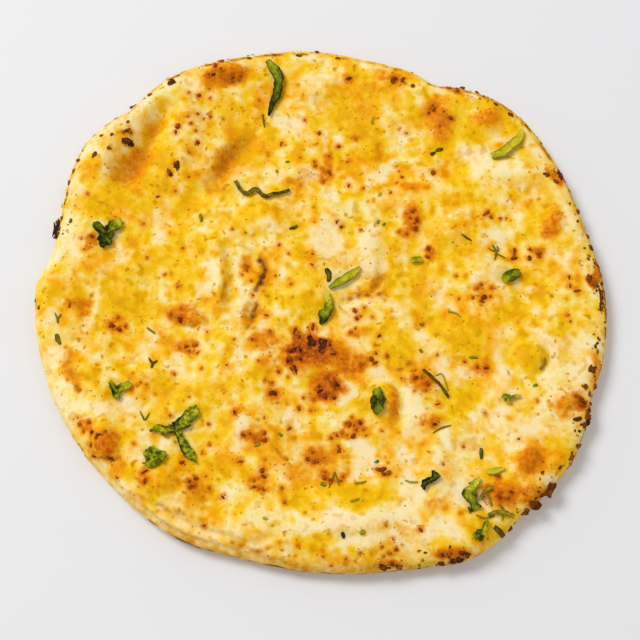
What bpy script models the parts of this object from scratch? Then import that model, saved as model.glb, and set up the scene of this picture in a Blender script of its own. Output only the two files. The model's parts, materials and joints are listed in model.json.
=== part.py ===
# Garlic naan: one hand-stretched flatbread with a puffed rim, blisters and creases.
# Toasted garlic bits are baked into its top, and chopped coriander leaves lie on it.
# Metres, +Z up. The origin is under the middle of the bread, on the surface it lies on.
# Plan places are in millimetres: +X is the right-hand side and +Y the back.
import math
import random

import bmesh
import bpy
import numpy as np
from mathutils import Matrix, Vector, noise
from mathutils.bvhtree import BVHTree

MM = 0.001

# Reach of the rim from the middle, every 15 degrees anticlockwise from the right
RIM_REACH = (
    129.4, 126.8, 128.9, 131.4, 124.6, 122.9, 126.0, 128.2,
    132.4, 131.2, 132.4, 125.4, 128.2, 127.8, 126.6, 125.6,
    126.3, 123.7, 125.2, 128.6, 134.8, 133.6, 132.0, 130.2,
)
# Nicks and small pulls in the rim: bearing, half-width in degrees, reach added
RIM_PULLS = (
    (63, 4, -2.6), (145, 5, 1.4), (134, 4, -1.2), (171, 5, -1.8), (179, 3, 0.9),
    (297, 4, 0.9), (310, 4, -1.4), (325, 4, 1.6), (339, 4, -1.6),
)

# Heights above the surface, in millimetres
FIELD_HEIGHT = 9.2          # the middle of the bread
WIDEST_HEIGHT = 5.4         # the rim's widest line
RIM_HEIGHT = (12.2, 12.6, 12.6, 14.6, 13.2, 14.6, 14.4, 12.4)   # every 45 degrees
RIM_ROLL = (7.5, 7.0, 7.5, 8.5, 8.0, 12.0, 11.0, 7.5)           # width of the rounded edge
RIM_SHOULDER = 21.0         # how far the rim's ridge fades inwards
UNDER_TUCK = 6.0            # from the widest line in to where the bread touches the surface
WAVES = ((34.0, 2.2), (15.0, 1.3))      # unevenness of the whole top: length and height
WAVE_SLICE = 0.7            # where the unevenness is cut from its noise
PUFF_FULLNESS = 2.5         # the higher, the flatter a puff's crown

# Puffs and blisters: x, y, half-length, half-width, turn in degrees, rise
PUFFS = (
    (-1, -32, 17, 11, 0, 3.8), (93, -31, 10, 9, 0, 3.4), (64, -22, 24, 14, -8, 2.3),
    (88, 60, 21, 10, -18, 3.4), (88, -77, 10, 7, 68, 3.4), (108, -51, 7, 6, 0, 2.8),
    (28, -52, 9, 11, 0, 3.2), (-93, -72, 9, 10, 0, 3.4), (-67, -87, 9, 8, 0, 2.8),
    (77, -93, 8, 7, 0, 2.4), (-46, 111, 14, 7, 5, 3.0), (-66, 77, 25, 13, 80, 3.2),
    (58, 84, 14, 9, 72, 2.2), (80, 86, 9, 8, 0, 2.0), (42, 35, 11, 7, 80, 2.3),
    (107, 33, 9, 6, 60, 1.8), (48, -60, 8, 6, 20, 2.1), (-59, -12, 10, 5, -10, 2.0),
    (-86, 5, 15, 10, 90, 1.8), (-14, 61, 14, 9, 0, 1.8), (22, 20, 20, 9, 88, 1.8),
    (60, 30, 14, 9, 30, 1.5), (-2, 104, 14, 9, 0, 1.7), (76, 12, 12, 9, 20, 1.6),
    (-30, 35, 15, 9, 10, 1.5), (8, -106, 26, 7, 2, 2.0), (104, -22, 12, 9, 90, 1.7),
    (-36, -62, 12, 9, 60, 1.6), (50, -84, 17, 10, 90, 1.9), (-75, -42, 14, 11, 20, 1.6),
)
# Dents between the puffs, in the same form with the rise below zero
DENTS = (
    (-31, -12, 11, 4, 85, -2.1), (26, 5, 7, 3, 74, -1.5), (-105, -8, 8, 5, 88, -1.9),
    (-88, 60, 13, 9, 52, -1.9), (-43, 66, 13, 6, 68, -2.6), (14, -85, 14, 7, 4, -1.4),
    (-20, 6, 13, 9, 90, -1.2), (60, 60, 11, 8, 0, -1.3), (-112, 35, 9, 6, 80, -1.0),
    (-2, -28, 9, 5, 0, -2.4), (70, -45, 13, 8, 0, -1.2), (-45, -95, 12, 8, 30, -1.2),
)
# Ridges and creases: points along the line, half-width, rise
FOLDS = (
    (((-102, 64), (-94, 79), (-83, 91), (-71, 100)), 7.0, 2.8),
    (((-72, 91), (-78, 80), (-82, 70), (-91, 57)), 4.6, -3.2),
    (((-33, 76), (-42, 67), (-50, 57), (-59, 48)), 4.6, -2.6),
    (((-48, 24), (-45, 10), (-46, -7)), 3.2, 2.2),
    (((-41, 22), (-39, 10), (-40, -4)), 2.8, -1.2),
    (((11, -5), (20, -1), (31, 0)), 2.6, -1.3),
    (((101, -26), (102, -34), (97, -40)), 3.0, -1.5),
    (((-35, -117), (-28, -114), (-20, -112)), 3.0, -1.4),
    (((36, -46), (38, -54), (33, -63)), 2.8, -1.2),
)
# Creases that run along the front left flank, where the dough was folded under
FLANK_BEARINGS = (222.0, 258.0)
FLANK_FADE = 5.0
FLANK_CREASES = ((30.0, 9.0, 1.5), (60.0, 9.0, 1.3))    # angle round the edge, half-width, depth

# Mesh of the bread: rings of the six-sided net, and how many of them round the edge over
NET_RINGS = 28
ROLL_RINGS = 6
EDGE_TURNS = (122.0, 153.0, 180.0)      # rings from the widest line round to the underside
UNDER_RINGS = (0.72, 0.40)      # rings of the flat underside, as shares of its reach
SECTOR = 60.0                   # degrees of one side of the net

# Garlic bits in clusters: x, y, spread, count
GARLIC_CLUSTERS = (
    (-10, -29, 5, 3), (3, -26, 4, 2), (4, -46, 5, 3), (-28, -68, 5, 3), (-3, -76, 5, 4),
    (12, -65, 7, 4), (8, -74, 3, 1), (27, -82, 3, 2), (3, -86, 4, 2), (-27, -87, 6, 3),
    (1, 60, 6, 3), (-60, -26, 6, 3), (-62, -10, 5, 2), (-92, -15, 5, 3), (-22, -47, 4, 2),
    (42, 36, 6, 4), (50, 20, 3, 2), (89, 17, 3, 2), (97, 18, 3, 2), (74, -3, 3, 2),
    (57, 88, 6, 4), (114, -52, 4, 3), (78, -92, 4, 2), (56, -119, 6, 3), (27, -121, 5, 2),
    (45, -40, 5, 3), (25, -31, 5, 2), (20, -11, 5, 2), (-52, 110, 5, 3), (36, 108, 3, 2),
    (-90, 76, 3, 2), (-68, 61, 3, 2), (121, 4, 4, 3), (-105, 24, 3, 1), (-53, -87, 4, 3),
    (97, -92, 3, 2), (90, -98, 3, 1), (66, 102, 5, 2), (-97, -67, 3, 2),
)
GARLIC_RADIUS = (0.9, 1.5)      # smallest and largest half-length
GARLIC_SHAPE = (1.0, 0.72, 0.75)    # length, width and height as shares of it
GARLIC_TILT = (0.4, 0.9)        # turn about the bit's length, in radians
GARLIC_PROUD = 0.2              # share of its half-length that its middle stands proud
GARLIC_SEED = 11
BIT_EDGE_ANGLE = 38.0           # a bit's edges sharper than this stay crisp
MERGE_DISTANCE = 0.01           # points nearer than this are one after the fusing
BIT_CLEARANCE = 1.3             # from a bit to the nearest leaf
BIT_SPACING = 0.5               # from a bit to the next bit

# Coriander pieces that are longer than wide: stations of x, y, half-width, lift
STRIP_LEAVES = {
    "leaf_back_strip": (
        (-24.8, 117.0, 0.9, 0.8), (-22.0, 112.5, 2.3, 1.3), (-19.6, 107.5, 2.6, 1.8),
        (-20.0, 101.5, 2.0, 1.5), (-22.0, 95.0, 1.6, 1.0), (-24.2, 88.6, 0.5, 0.7)),
    "stem_curly": (
        (-39.0, 54.8, 0.8, 0.8), (-36.2, 49.6, 0.8, 0.9), (-33.0, 48.0, 0.9, 1.2),
        (-29.6, 49.9, 0.8, 1.4), (-25.4, 46.4, 1.0, 1.0), (-20.0, 47.4, 0.8, 0.8),
        (-13.8, 50.0, 0.7, 0.7)),
    "leaf_right_strip": (
        (80.4, 66.8, 1.7, 0.8), (84.8, 68.0, 2.5, 1.0), (89.4, 72.0, 2.1, 1.3),
        (93.4, 75.0, 2.0, 1.2), (95.2, 80.6, 0.7, 0.8)),
    "leaf_centre_blade": (
        (4.4, 1.6, 0.7, 0.7), (8.0, 4.0, 1.7, 0.9), (12.0, 6.4, 2.1, 1.3),
        (15.6, 9.0, 1.8, 1.0), (18.4, 11.4, 0.6, 0.7)),
    "leaf_centre_tail": (
        (2.6, -0.4, 1.2, 0.7), (4.0, -4.4, 2.4, 1.0), (4.0, -8.2, 1.9, 1.1),
        (2.4, -10.8, 2.5, 0.9), (0.6, -15.4, 0.7, 0.6)),
    "leaf_front_hook": (
        (68.2, -86.0, 0.6, 0.7), (65.4, -89.6, 2.0, 1.1), (63.8, -93.2, 2.5, 1.4),
        (64.6, -96.6, 1.7, 1.2), (65.8, -100.0, 1.9, 0.8)),
    "stem_front_hook": (
        (67.9, -95.2, 0.7, 0.7), (69.8, -92.2, 0.7, 1.0), (72.6, -90.4, 0.8, 0.7)),
    "stem_front_twig": (
        (73.2, -107.2, 1.0, 0.7), (75.2, -108.8, 0.9, 0.8), (77.4, -110.8, 0.9, 0.6)),
    "stem_front_fork": (
        (70.8, -102.4, 0.8, 0.6), (75.4, -100.8, 0.9, 0.9), (82.0, -102.6, 0.8, 0.6)),
    "stem_thin": (
        (45.6, -37.0, 0.7, 0.7), (50.4, -41.2, 0.7, 0.8), (54.0, -45.4, 0.7, 0.8),
        (56.4, -49.6, 0.6, 0.6)),
    "leaf_front_light": (
        (71.2, -83.6, 0.7, 0.7), (74.4, -83.2, 1.4, 0.9), (78.6, -82.0, 0.6, 0.7)),
}
# Coriander pieces that spread: x, y, core radius, then lobes of bearing, reach, half-width
LOBED_LEAVES = {
    "leaf_left_pair": (-97.0, 26.6, 3.6, ((52, 10.0, 27), (138, 7.8, 26), (268, 6.6, 42))),
    "leaf_right_oval": (86.3, 7.0, 2.9, ((30, 4.8, 44), (212, 4.6, 42))),
    "leaf_blister": (25.2, -52.0, 3.2, ((90, 5.8, 38), (268, 5.8, 34))),
    "leaf_trefoil": (-62.4, -65.0, 2.2, ((46, 13.6, 25), (181, 9.6, 22), (302, 17.4, 15))),
    "leaf_curled": (-71.0, -77.0, 3.0, ((62, 4.6, 40), (160, 4.6, 32), (258, 5.4, 34), (0, 6.4, 26))),
    "leaf_vee": (-87.6, -48.8, 2.0, ((130, 6.8, 22), (50, 6.8, 28), (236, 3.4, 40))),
    "leaf_dark_flake": (46.8, -87.4, 2.2, ((35, 4.4, 34), (212, 4.6, 34))),
    "leaf_front_oval": (67.2, -110.8, 2.5, ((62, 6.6, 17), (24, 3.4, 30), (196, 4.0, 40))),
    "leaf_triangle": (82.0, -50.2, 1.2, ((6, 5.4, 16), (168, 2.8, 30), (272, 2.6, 34))),
    "leaf_small_oval": (44.0, 15.4, 1.4, ((4, 2.7, 42), (184, 2.6, 42))),
}
LEAF_THICKNESS = 0.5
LEAF_GAP = 0.45             # smallest distance from the bread to a leaf's underside
LEAF_SPAN = 1.4             # dips narrower than this are bridged by a leaf
LEAF_RIPPLE = 0.55          # height of the waves in a leaf
LEAF_RIPPLE_LENGTH = 4.5
LEAF_RIPPLE_SLICE = 0.05    # where the waves are cut from their noise, in metres
STRIP_TIP = 0.35            # least half-width of a strip, at its tips
STRIP_STEPS = 8             # fewest steps along a strip
HEADING_STEP = 0.02         # share of a strip over which its heading is taken
LOBED_LIFT = 0.8
LOBE_CURL = 0.5             # how much higher a lobe's end lies than the leaf's middle
LOBE_SQUARENESS = 3         # the higher, the blunter a lobe
LEAF_SPOKES = (8, 5)        # spokes of a lobed leaf, and more for each lobe
LONG_LOBE = 7.0             # lobes past this length get one more ring of points

CRUST_COLOUR = (0.80, 0.54, 0.17, 1.0)
LEAF_COLOUR = (0.16, 0.26, 0.03, 1.0)
DARK_LEAF_COLOUR = (0.05, 0.07, 0.02, 1.0)
STEM_COLOUR = (0.14, 0.12, 0.03, 1.0)


def round_the_rim(values, bearing):
    """Smooth periodic reading of equally spaced values, for bearings in degrees."""
    values = np.asarray(values, dtype=float)
    count = len(values)
    place = np.mod(bearing, 360.0) * count / 360.0
    start = np.floor(place).astype(int)
    t = place - start
    before, left, right, after = (values[(start + k) % count] for k in (-1, 0, 1, 2))
    slope_left = (right - before) / 2
    slope_right = (after - left) / 2
    return (left * (2 * t**3 - 3 * t**2 + 1) + slope_left * (t**3 - 2 * t**2 + t)
            + right * (3 * t**2 - 2 * t**3) + slope_right * (t**3 - t**2))


def rim_reach(bearing):
    """Distance from the middle to the rim's widest line."""
    reach = round_the_rim(RIM_REACH, bearing)
    for centre, half_width, pull in RIM_PULLS:
        off = np.mod(bearing - centre + 180.0, 360.0) - 180.0
        reach = reach + pull * np.exp(-(off / half_width) ** 2)
    return reach


def puff(x, y, centre_x, centre_y, half_length, half_width, turn, rise):
    """A rounded swelling, or a dent where the rise is below zero."""
    angle = math.radians(turn)
    along = (x - centre_x) * math.cos(angle) + (y - centre_y) * math.sin(angle)
    across = (y - centre_y) * math.cos(angle) - (x - centre_x) * math.sin(angle)
    share = np.hypot(along / half_length, across / half_width)
    return rise * np.clip(1.0 - share**PUFF_FULLNESS, 0.0, None) ** 2 * (share < 1.0)


def fold(x, y, line, half_width, rise):
    """A soft ridge or crease along a line of points."""
    nearest = np.full(np.shape(x), np.inf)
    for (ax, ay), (bx, by) in zip(line, line[1:]):
        length_squared = (bx - ax) ** 2 + (by - ay) ** 2
        t = np.clip(((x - ax) * (bx - ax) + (y - ay) * (by - ay)) / length_squared, 0.0, 1.0)
        nearest = np.minimum(nearest, np.hypot(x - ax - t * (bx - ax), y - ay - t * (by - ay)))
    return rise * np.exp(-(nearest / half_width) ** 2)


def wave(x, y, length, height):
    """Unevenness left by stretching the dough by hand."""
    places = zip(np.ravel(x) / length, np.ravel(y) / length)
    values = [noise.noise(Vector((u, v, WAVE_SLICE))) for u, v in places]
    return height * np.reshape(values, np.shape(x))


def top_height(x, y):
    """Height of the bread's top before its edge rounds over, in millimetres."""
    bearing = np.degrees(np.arctan2(y, x))
    ridge_reach = rim_reach(bearing) - round_the_rim(RIM_ROLL, bearing)
    inside = np.clip(ridge_reach - np.hypot(x, y), 0.0, None)
    ridge = round_the_rim(RIM_HEIGHT, bearing) - FIELD_HEIGHT
    height = FIELD_HEIGHT + ridge * np.exp(-(inside / RIM_SHOULDER) ** 2)
    for length, swell in WAVES:
        height = height + wave(x, y, length, swell)
    for swelling in PUFFS + DENTS:
        height = height + puff(x, y, *swelling)
    for line, half_width, rise in FOLDS:
        height = height + fold(x, y, line, half_width, rise)
    return height


def crust_points(bearing, reach_share, turn):
    """Points of the bread's skin. The turn round the edge is 0 on top and 90 at the widest line."""
    reach = rim_reach(bearing)
    roll = round_the_rim(RIM_ROLL, bearing)
    lean = np.radians(turn)
    distance = (reach - roll) * reach_share + roll * np.sin(lean) * (turn <= 90.0)
    tucked = reach - UNDER_TUCK * (1.0 - np.sin(lean))
    distance = np.where(turn > 90.0, tucked * reach_share, distance)
    x = distance * np.cos(np.radians(bearing))
    y = distance * np.sin(np.radians(bearing))
    above = top_height(x, y) - WIDEST_HEIGHT
    height = WIDEST_HEIGHT + np.where(turn > 90.0, WIDEST_HEIGHT, above) * np.cos(lean)
    first, last = FLANK_BEARINGS
    window = 1.0 / (1.0 + np.exp((first - bearing % 360.0) / FLANK_FADE))
    window = window / (1.0 + np.exp((bearing % 360.0 - last) / FLANK_FADE))
    for centre, half_width, depth in FLANK_CREASES:
        sink = depth * window * np.exp(-((turn - centre) / half_width) ** 2)
        x = x - sink * np.sin(lean) * np.cos(np.radians(bearing))
        y = y - sink * np.sin(lean) * np.sin(np.radians(bearing))
        height = height - sink * np.cos(lean)
    return np.stack([x, y, np.maximum(height, 0.0)], axis=-1) * MM


def net_place(corner):
    """Bearing and ring share of a point in the flat six-sided net."""
    side = math.radians(SECTOR)
    sector = int((math.atan2(corner.y, corner.x) % (2 * math.pi)) / side)
    first = Vector((math.cos(sector * side), math.sin(sector * side)))
    second = Vector((math.cos((sector + 1) * side), math.sin((sector + 1) * side)))
    area = first.x * second.y - first.y * second.x
    part_first = (corner.x * second.y - corner.y * second.x) / area
    part_second = (first.x * corner.y - first.y * corner.x) / area
    share = part_first + part_second
    if share < 1e-6:
        return 0.0, 0.0
    return SECTOR * (sector + part_second / share), share


def net_turn(bm):
    """Turn that brings a corner of the net onto the +X axis."""
    far = max(bm.verts, key=lambda vert: round(vert.co.length, 4))
    return -math.atan2(far.co.y, far.co.x)


def bread_core():
    """The plain bread: one closed skin with a flat underside."""
    bm = bmesh.new()
    bmesh.ops.create_circle(bm, cap_ends=True, cap_tris=True, segments=6, radius=1.0)
    bmesh.ops.subdivide_edges(bm, edges=bm.edges[:], cuts=NET_RINGS - 1, use_grid_fill=True)
    bmesh.ops.rotate(bm, verts=bm.verts, matrix=Matrix.Rotation(net_turn(bm), 3, "Z"))
    roll_start = 1.0 - ROLL_RINGS / NET_RINGS
    places = {}
    for vert in bm.verts:
        bearing, share = net_place(vert.co)
        turn = max(0.0, (share - roll_start) / (1.0 - roll_start)) * 90.0
        places[vert] = (bearing, min(share / roll_start, 1.0), turn)
    edge = [e for e in bm.edges if e.is_boundary]
    stages = [(1.0, turn) for turn in EDGE_TURNS]
    stages += [(share, 180.0) for share in UNDER_RINGS]
    for reach_share, turn in stages:
        grown = bmesh.ops.extrude_edge_only(bm, edges=edge)["geom"]
        new_verts = [g for g in grown if isinstance(g, bmesh.types.BMVert)]
        old_by_place = {tuple(round(c, 6) for c in v.co): v for e in edge for v in e.verts}
        for vert in new_verts:
            bearing = places[old_by_place[tuple(round(c, 6) for c in vert.co)]][0]
            places[vert] = (bearing, reach_share, turn)
            vert.co.z -= 1.0
        edge = [g for g in grown if isinstance(g, bmesh.types.BMEdge) and g.is_boundary]
    floor = bmesh.ops.contextual_create(bm, geom=edge)["faces"]
    middle = bmesh.ops.poke(bm, faces=floor)["verts"]
    for vert in middle:
        places[vert] = (0.0, 0.0, 180.0)
    bm.verts.index_update()
    table = np.array([places[vert] for vert in bm.verts])
    for vert, point in zip(bm.verts, crust_points(table[:, 0], table[:, 1], table[:, 2])):
        vert.co = point
    bmesh.ops.triangulate(bm, faces=bm.faces[:])
    bmesh.ops.recalc_face_normals(bm, faces=bm.faces[:])
    return bm


def skin_height(tree, x, y):
    """Height of the bread's skin under a plan place, all in metres."""
    hit = tree.ray_cast(Vector((x, y, 1.0)), Vector((0, 0, -1)))[0]
    return hit.z if hit else 0.0


def highest_near(tree, x, y):
    """Highest skin within a short way of a place, so that a leaf spans the dips."""
    span = LEAF_SPAN * MM
    steps = ((0, 0), (1, 0), (-1, 0), (0, 1), (0, -1))
    return max(skin_height(tree, x + span * u, y + span * v) for u, v in steps)


def smooth_stations(stations, share):
    """Station values at a share of the way along, on a smooth curve through all of them."""
    last = len(stations) - 1
    place = min(share * last, last - 1e-6)
    k = int(place)
    t = place - k
    picks = [stations[min(max(k + step, 0), last)] for step in (-1, 0, 1, 2)]
    values = []
    for a, b, c, d in zip(*picks):
        bend = 2 * a - 5 * b + 4 * c - d + t * (3 * (b - c) + d - a)
        values.append(b + 0.5 * t * (c - a + t * bend))
    return values


def strip_plan(bm, stations):
    """Flat strip along the stations. Returns the lift of each of its points."""
    steps = max(STRIP_STEPS, 2 * len(stations))
    bmesh.ops.create_grid(bm, x_segments=steps, y_segments=2, size=0.5)
    lifts = {}
    for vert in bm.verts:
        share = min(max(vert.co.x + 0.5, 0.0), 1.0)
        x, y, half_width, lift = smooth_stations(stations, share)
        ahead = smooth_stations(stations, min(share + HEADING_STEP, 1.0))
        behind = smooth_stations(stations, max(share - HEADING_STEP, 0.0))
        heading = math.atan2(ahead[1] - behind[1], ahead[0] - behind[0])
        across = vert.co.y * 2.0 * max(half_width, STRIP_TIP)
        vert.co = ((x - across * math.sin(heading)) * MM, (y + across * math.cos(heading)) * MM, 0.0)
        lifts[vert] = lift
    return lifts


def lobed_plan(bm, x, y, core, lobes):
    """Flat leaf with lobes round a middle. Returns the lift of each of its points."""
    longest = max(reach for _, reach, _ in lobes)
    fewest, more = LEAF_SPOKES
    bmesh.ops.create_circle(
        bm, cap_ends=True, cap_tris=True, segments=fewest + more * len(lobes), radius=1.0)
    spokes = [e for e in bm.edges if not e.is_boundary]
    bmesh.ops.subdivide_edges(bm, edges=spokes, cuts=2 if longest > LONG_LOBE else 1)
    bmesh.ops.triangulate(bm, faces=bm.faces[:])
    lifts = {}
    for vert in bm.verts:
        share = vert.co.xy.length
        bearing = math.degrees(math.atan2(vert.co.y, vert.co.x))
        reach = core
        for centre, lobe_reach, half_width in lobes:
            off = (bearing - centre + 180.0) % 360.0 - 180.0
            fullness = math.exp(-abs(off / half_width) ** LOBE_SQUARENESS)
            reach = max(reach, core + (lobe_reach - core) * fullness)
        turn = math.radians(bearing)
        place = Vector((x + share * reach * math.cos(turn), y + share * reach * math.sin(turn)))
        vert.co = (place.x * MM, place.y * MM, 0.0)
        lifts[vert] = LOBED_LIFT + LOBE_CURL * share**2
    return lifts


def leaf_solid(name, tree, material, plan, *shape):
    """A leaf laid over the bread, with both faces split into triangles alike."""
    bm = bmesh.new()
    lifts = plan(bm, *shape)
    bmesh.ops.triangulate(bm, faces=bm.faces[:])
    for vert in bm.verts:
        place = Vector((vert.co.x, vert.co.y, LEAF_RIPPLE_SLICE))
        ripple = noise.noise(place / (LEAF_RIPPLE_LENGTH * MM))
        lift = max(LEAF_GAP, lifts[vert] + ripple * LEAF_RIPPLE)
        vert.co.z = highest_near(tree, vert.co.x, vert.co.y) + lift * MM
    upper = bmesh.ops.extrude_face_region(bm, geom=bm.faces[:])["geom"]
    upper_verts = [g for g in upper if isinstance(g, bmesh.types.BMVert)]
    bmesh.ops.translate(bm, verts=upper_verts, vec=(0, 0, LEAF_THICKNESS * MM))
    bmesh.ops.triangulate(bm, faces=bm.faces[:])
    bmesh.ops.recalc_face_normals(bm, faces=bm.faces[:])
    return new_object(name, bm, material)


def new_object(name, bm, material, collection=None):
    """Turn a finished mesh into an object of its own."""
    mesh = bpy.data.meshes.new(name)
    bm.to_mesh(mesh)
    bm.free()
    if material:
        mesh.materials.append(material)
        mesh.shade_smooth()
    thing = bpy.data.objects.new(name, mesh)
    (collection or bpy.context.scene.collection).objects.link(thing)
    return thing


def simple_material(name, colour, roughness):
    """A plain food surface."""
    material = bpy.data.materials.new(name)
    material.use_nodes = True
    surface = material.node_tree.nodes["Principled BSDF"]
    surface.inputs["Base Color"].default_value = colour
    surface.inputs["Roughness"].default_value = roughness
    surface.inputs["Metallic"].default_value = 0.0
    return material


def garlic_bits(tree, leaf_points, collection):
    """Chopped garlic, half sunk in the crust and clear of the leaves."""
    draw = random.Random(GARLIC_SEED)
    placed = []
    for centre_x, centre_y, spread, count in GARLIC_CLUSTERS:
        for _ in range(count):
            radius = draw.uniform(*GARLIC_RADIUS)
            tilt = draw.uniform(*GARLIC_TILT)
            turn = draw.uniform(0.0, math.pi)
            way = draw.uniform(0.0, 2 * math.pi)
            far = spread * math.sqrt(draw.random())
            x = centre_x + far * math.cos(way)
            y = centre_y + far * math.sin(way)
            height = skin_height(tree, x * MM, y * MM)
            near_leaf = np.min(np.hypot(leaf_points[:, 0] - x, leaf_points[:, 1] - y))
            gaps = [math.hypot(x - u, y - v) - radius - r for u, v, r in placed]
            off_top = height < WIDEST_HEIGHT * MM
            crowded = any(gap < BIT_SPACING for gap in gaps)
            if off_top or crowded or near_leaf < radius + BIT_CLEARANCE:
                continue
            placed.append((x, y, radius))
            bm = bmesh.new()
            bmesh.ops.create_icosphere(bm, subdivisions=1, radius=1.0)
            bmesh.ops.rotate(bm, verts=bm.verts, matrix=Matrix.Rotation(tilt, 3, "X"))
            bmesh.ops.scale(bm, verts=bm.verts, vec=Vector(GARLIC_SHAPE) * radius * MM)
            bmesh.ops.rotate(bm, verts=bm.verts, matrix=Matrix.Rotation(turn, 3, "Z"))
            middle = Vector((x * MM, y * MM, height + GARLIC_PROUD * radius * MM))
            bmesh.ops.translate(bm, verts=bm.verts, vec=middle)
            new_object("garlic_bit", bm, None, collection)


def fuse(thing, collection):
    """Join everything in the collection to the bread as one solid."""
    join = thing.modifiers.new("garlic", "BOOLEAN")
    join.operation = "UNION"
    join.operand_type = "COLLECTION"
    join.collection = collection
    join.solver = "EXACT"
    with bpy.context.temp_override(object=thing, active_object=thing):
        bpy.ops.object.modifier_apply(modifier=join.name)
    for bit in list(collection.objects):
        bpy.data.objects.remove(bit)
    bpy.data.collections.remove(collection)
    bm = bmesh.new()
    bm.from_mesh(thing.data)
    bmesh.ops.remove_doubles(bm, verts=bm.verts[:], dist=MERGE_DISTANCE * MM)
    bmesh.ops.dissolve_degenerate(bm, edges=bm.edges[:], dist=MERGE_DISTANCE * MM)
    bmesh.ops.triangulate(bm, faces=bm.faces[:])
    bm.to_mesh(thing.data)
    bm.free()
    thing.data.shade_smooth()
    thing.data.set_sharp_from_angle(angle=math.radians(BIT_EDGE_ANGLE))


for leftover in list(bpy.data.objects):
    bpy.data.objects.remove(leftover)

crust = simple_material("butter_glazed_crust", CRUST_COLOUR, 0.45)
leaf_green = simple_material("coriander_leaf", LEAF_COLOUR, 0.5)
dark_leaf = simple_material("toasted_coriander", DARK_LEAF_COLOUR, 0.6)
stem_brown = simple_material("coriander_stem", STEM_COLOUR, 0.55)

core_mesh = bread_core()
core_tree = BVHTree.FromBMesh(core_mesh)
naan = new_object("naan_bread", core_mesh, crust)

leaves = []
for leaf_name, stations in STRIP_LEAVES.items():
    leaf_material = stem_brown if leaf_name.startswith("stem") else leaf_green
    leaves.append(leaf_solid(leaf_name, core_tree, leaf_material, strip_plan, stations))
for leaf_name, shape in LOBED_LEAVES.items():
    leaf_material = dark_leaf if leaf_name == "leaf_dark_flake" else leaf_green
    leaves.append(leaf_solid(leaf_name, core_tree, leaf_material, lobed_plan, *shape))

leaf_corners = np.array([vert.co.xy / MM for leaf in leaves for vert in leaf.data.vertices])
garlic = bpy.data.collections.new("garlic")
bpy.context.scene.collection.children.link(garlic)
garlic_bits(core_tree, leaf_corners, garlic)
fuse(naan, garlic)
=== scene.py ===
# Garlic naan: a hand-stretched flatbread, brushed with butter, with toasted garlic and coriander.
# Plan places are in millimetres: +X is the right-hand side and +Y the back.
import json
import math
import random

import bmesh
import bpy
import numpy as np
from mathutils import Matrix, Vector, noise
from mathutils.bvhtree import BVHTree

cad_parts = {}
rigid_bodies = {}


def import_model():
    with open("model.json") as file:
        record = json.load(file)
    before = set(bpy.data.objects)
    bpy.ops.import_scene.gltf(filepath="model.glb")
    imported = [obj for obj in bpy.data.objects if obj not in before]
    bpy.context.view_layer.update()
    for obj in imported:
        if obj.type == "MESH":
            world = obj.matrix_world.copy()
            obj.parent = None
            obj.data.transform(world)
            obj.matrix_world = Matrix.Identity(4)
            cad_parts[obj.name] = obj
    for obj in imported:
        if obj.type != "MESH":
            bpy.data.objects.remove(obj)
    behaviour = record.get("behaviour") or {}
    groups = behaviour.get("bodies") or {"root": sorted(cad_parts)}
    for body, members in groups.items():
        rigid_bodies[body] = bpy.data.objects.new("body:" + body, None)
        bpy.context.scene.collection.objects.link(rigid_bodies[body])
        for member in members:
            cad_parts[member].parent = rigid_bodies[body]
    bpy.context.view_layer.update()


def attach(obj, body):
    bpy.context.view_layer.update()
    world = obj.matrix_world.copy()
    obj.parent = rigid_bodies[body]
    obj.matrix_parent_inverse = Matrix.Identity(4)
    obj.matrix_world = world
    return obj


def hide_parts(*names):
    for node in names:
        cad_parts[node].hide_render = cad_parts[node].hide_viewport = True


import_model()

# Bread
# One round of leavened dough, stretched by hand and baked on a hot oven wall. It has a thick
# uneven rim, blisters and dents, and was brushed with melted butter while hot.

MM = 0.001                      # a millimetre in metres
# Reach of the rim from the middle, every 15 degrees anticlockwise from the right
RIM_REACH = (
    129.4, 126.8, 128.9, 131.4, 124.6, 122.9, 126.0, 128.2,
    132.4, 131.2, 132.4, 125.4, 128.2, 127.8, 126.6, 125.6,
    126.3, 123.7, 125.2, 128.6, 134.8, 133.6, 132.0, 130.2,
)
# Nicks and small pulls in the rim: bearing, half-width in degrees, reach added
RIM_PULLS = (
    (63, 4, -2.6), (145, 5, 1.4), (134, 4, -1.2), (171, 5, -1.8), (179, 3, 0.9),
    (297, 4, 0.9), (310, 4, -1.4), (325, 4, 1.6), (339, 4, -1.6),
)
FIELD_HEIGHT = 9.2
WIDEST_HEIGHT = 5.4
RIM_HEIGHT = (12.2, 12.6, 12.6, 14.6, 13.2, 14.6, 14.4, 12.4)   # every 45 degrees
RIM_ROLL = (7.5, 7.0, 7.5, 8.5, 8.0, 12.0, 11.0, 7.5)           # width of the rounded edge
RIM_SHOULDER = 21.0             # width over which the rim slopes down to the field
UNDER_TUCK = 6.0                # how far the base lies inside the rim's widest line
WAVES = ((34.0, 2.2), (15.0, 1.3))      # unevenness of the whole top: length and height
WAVE_SLICE = 0.7
PUFF_FULLNESS = 2.5
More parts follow.
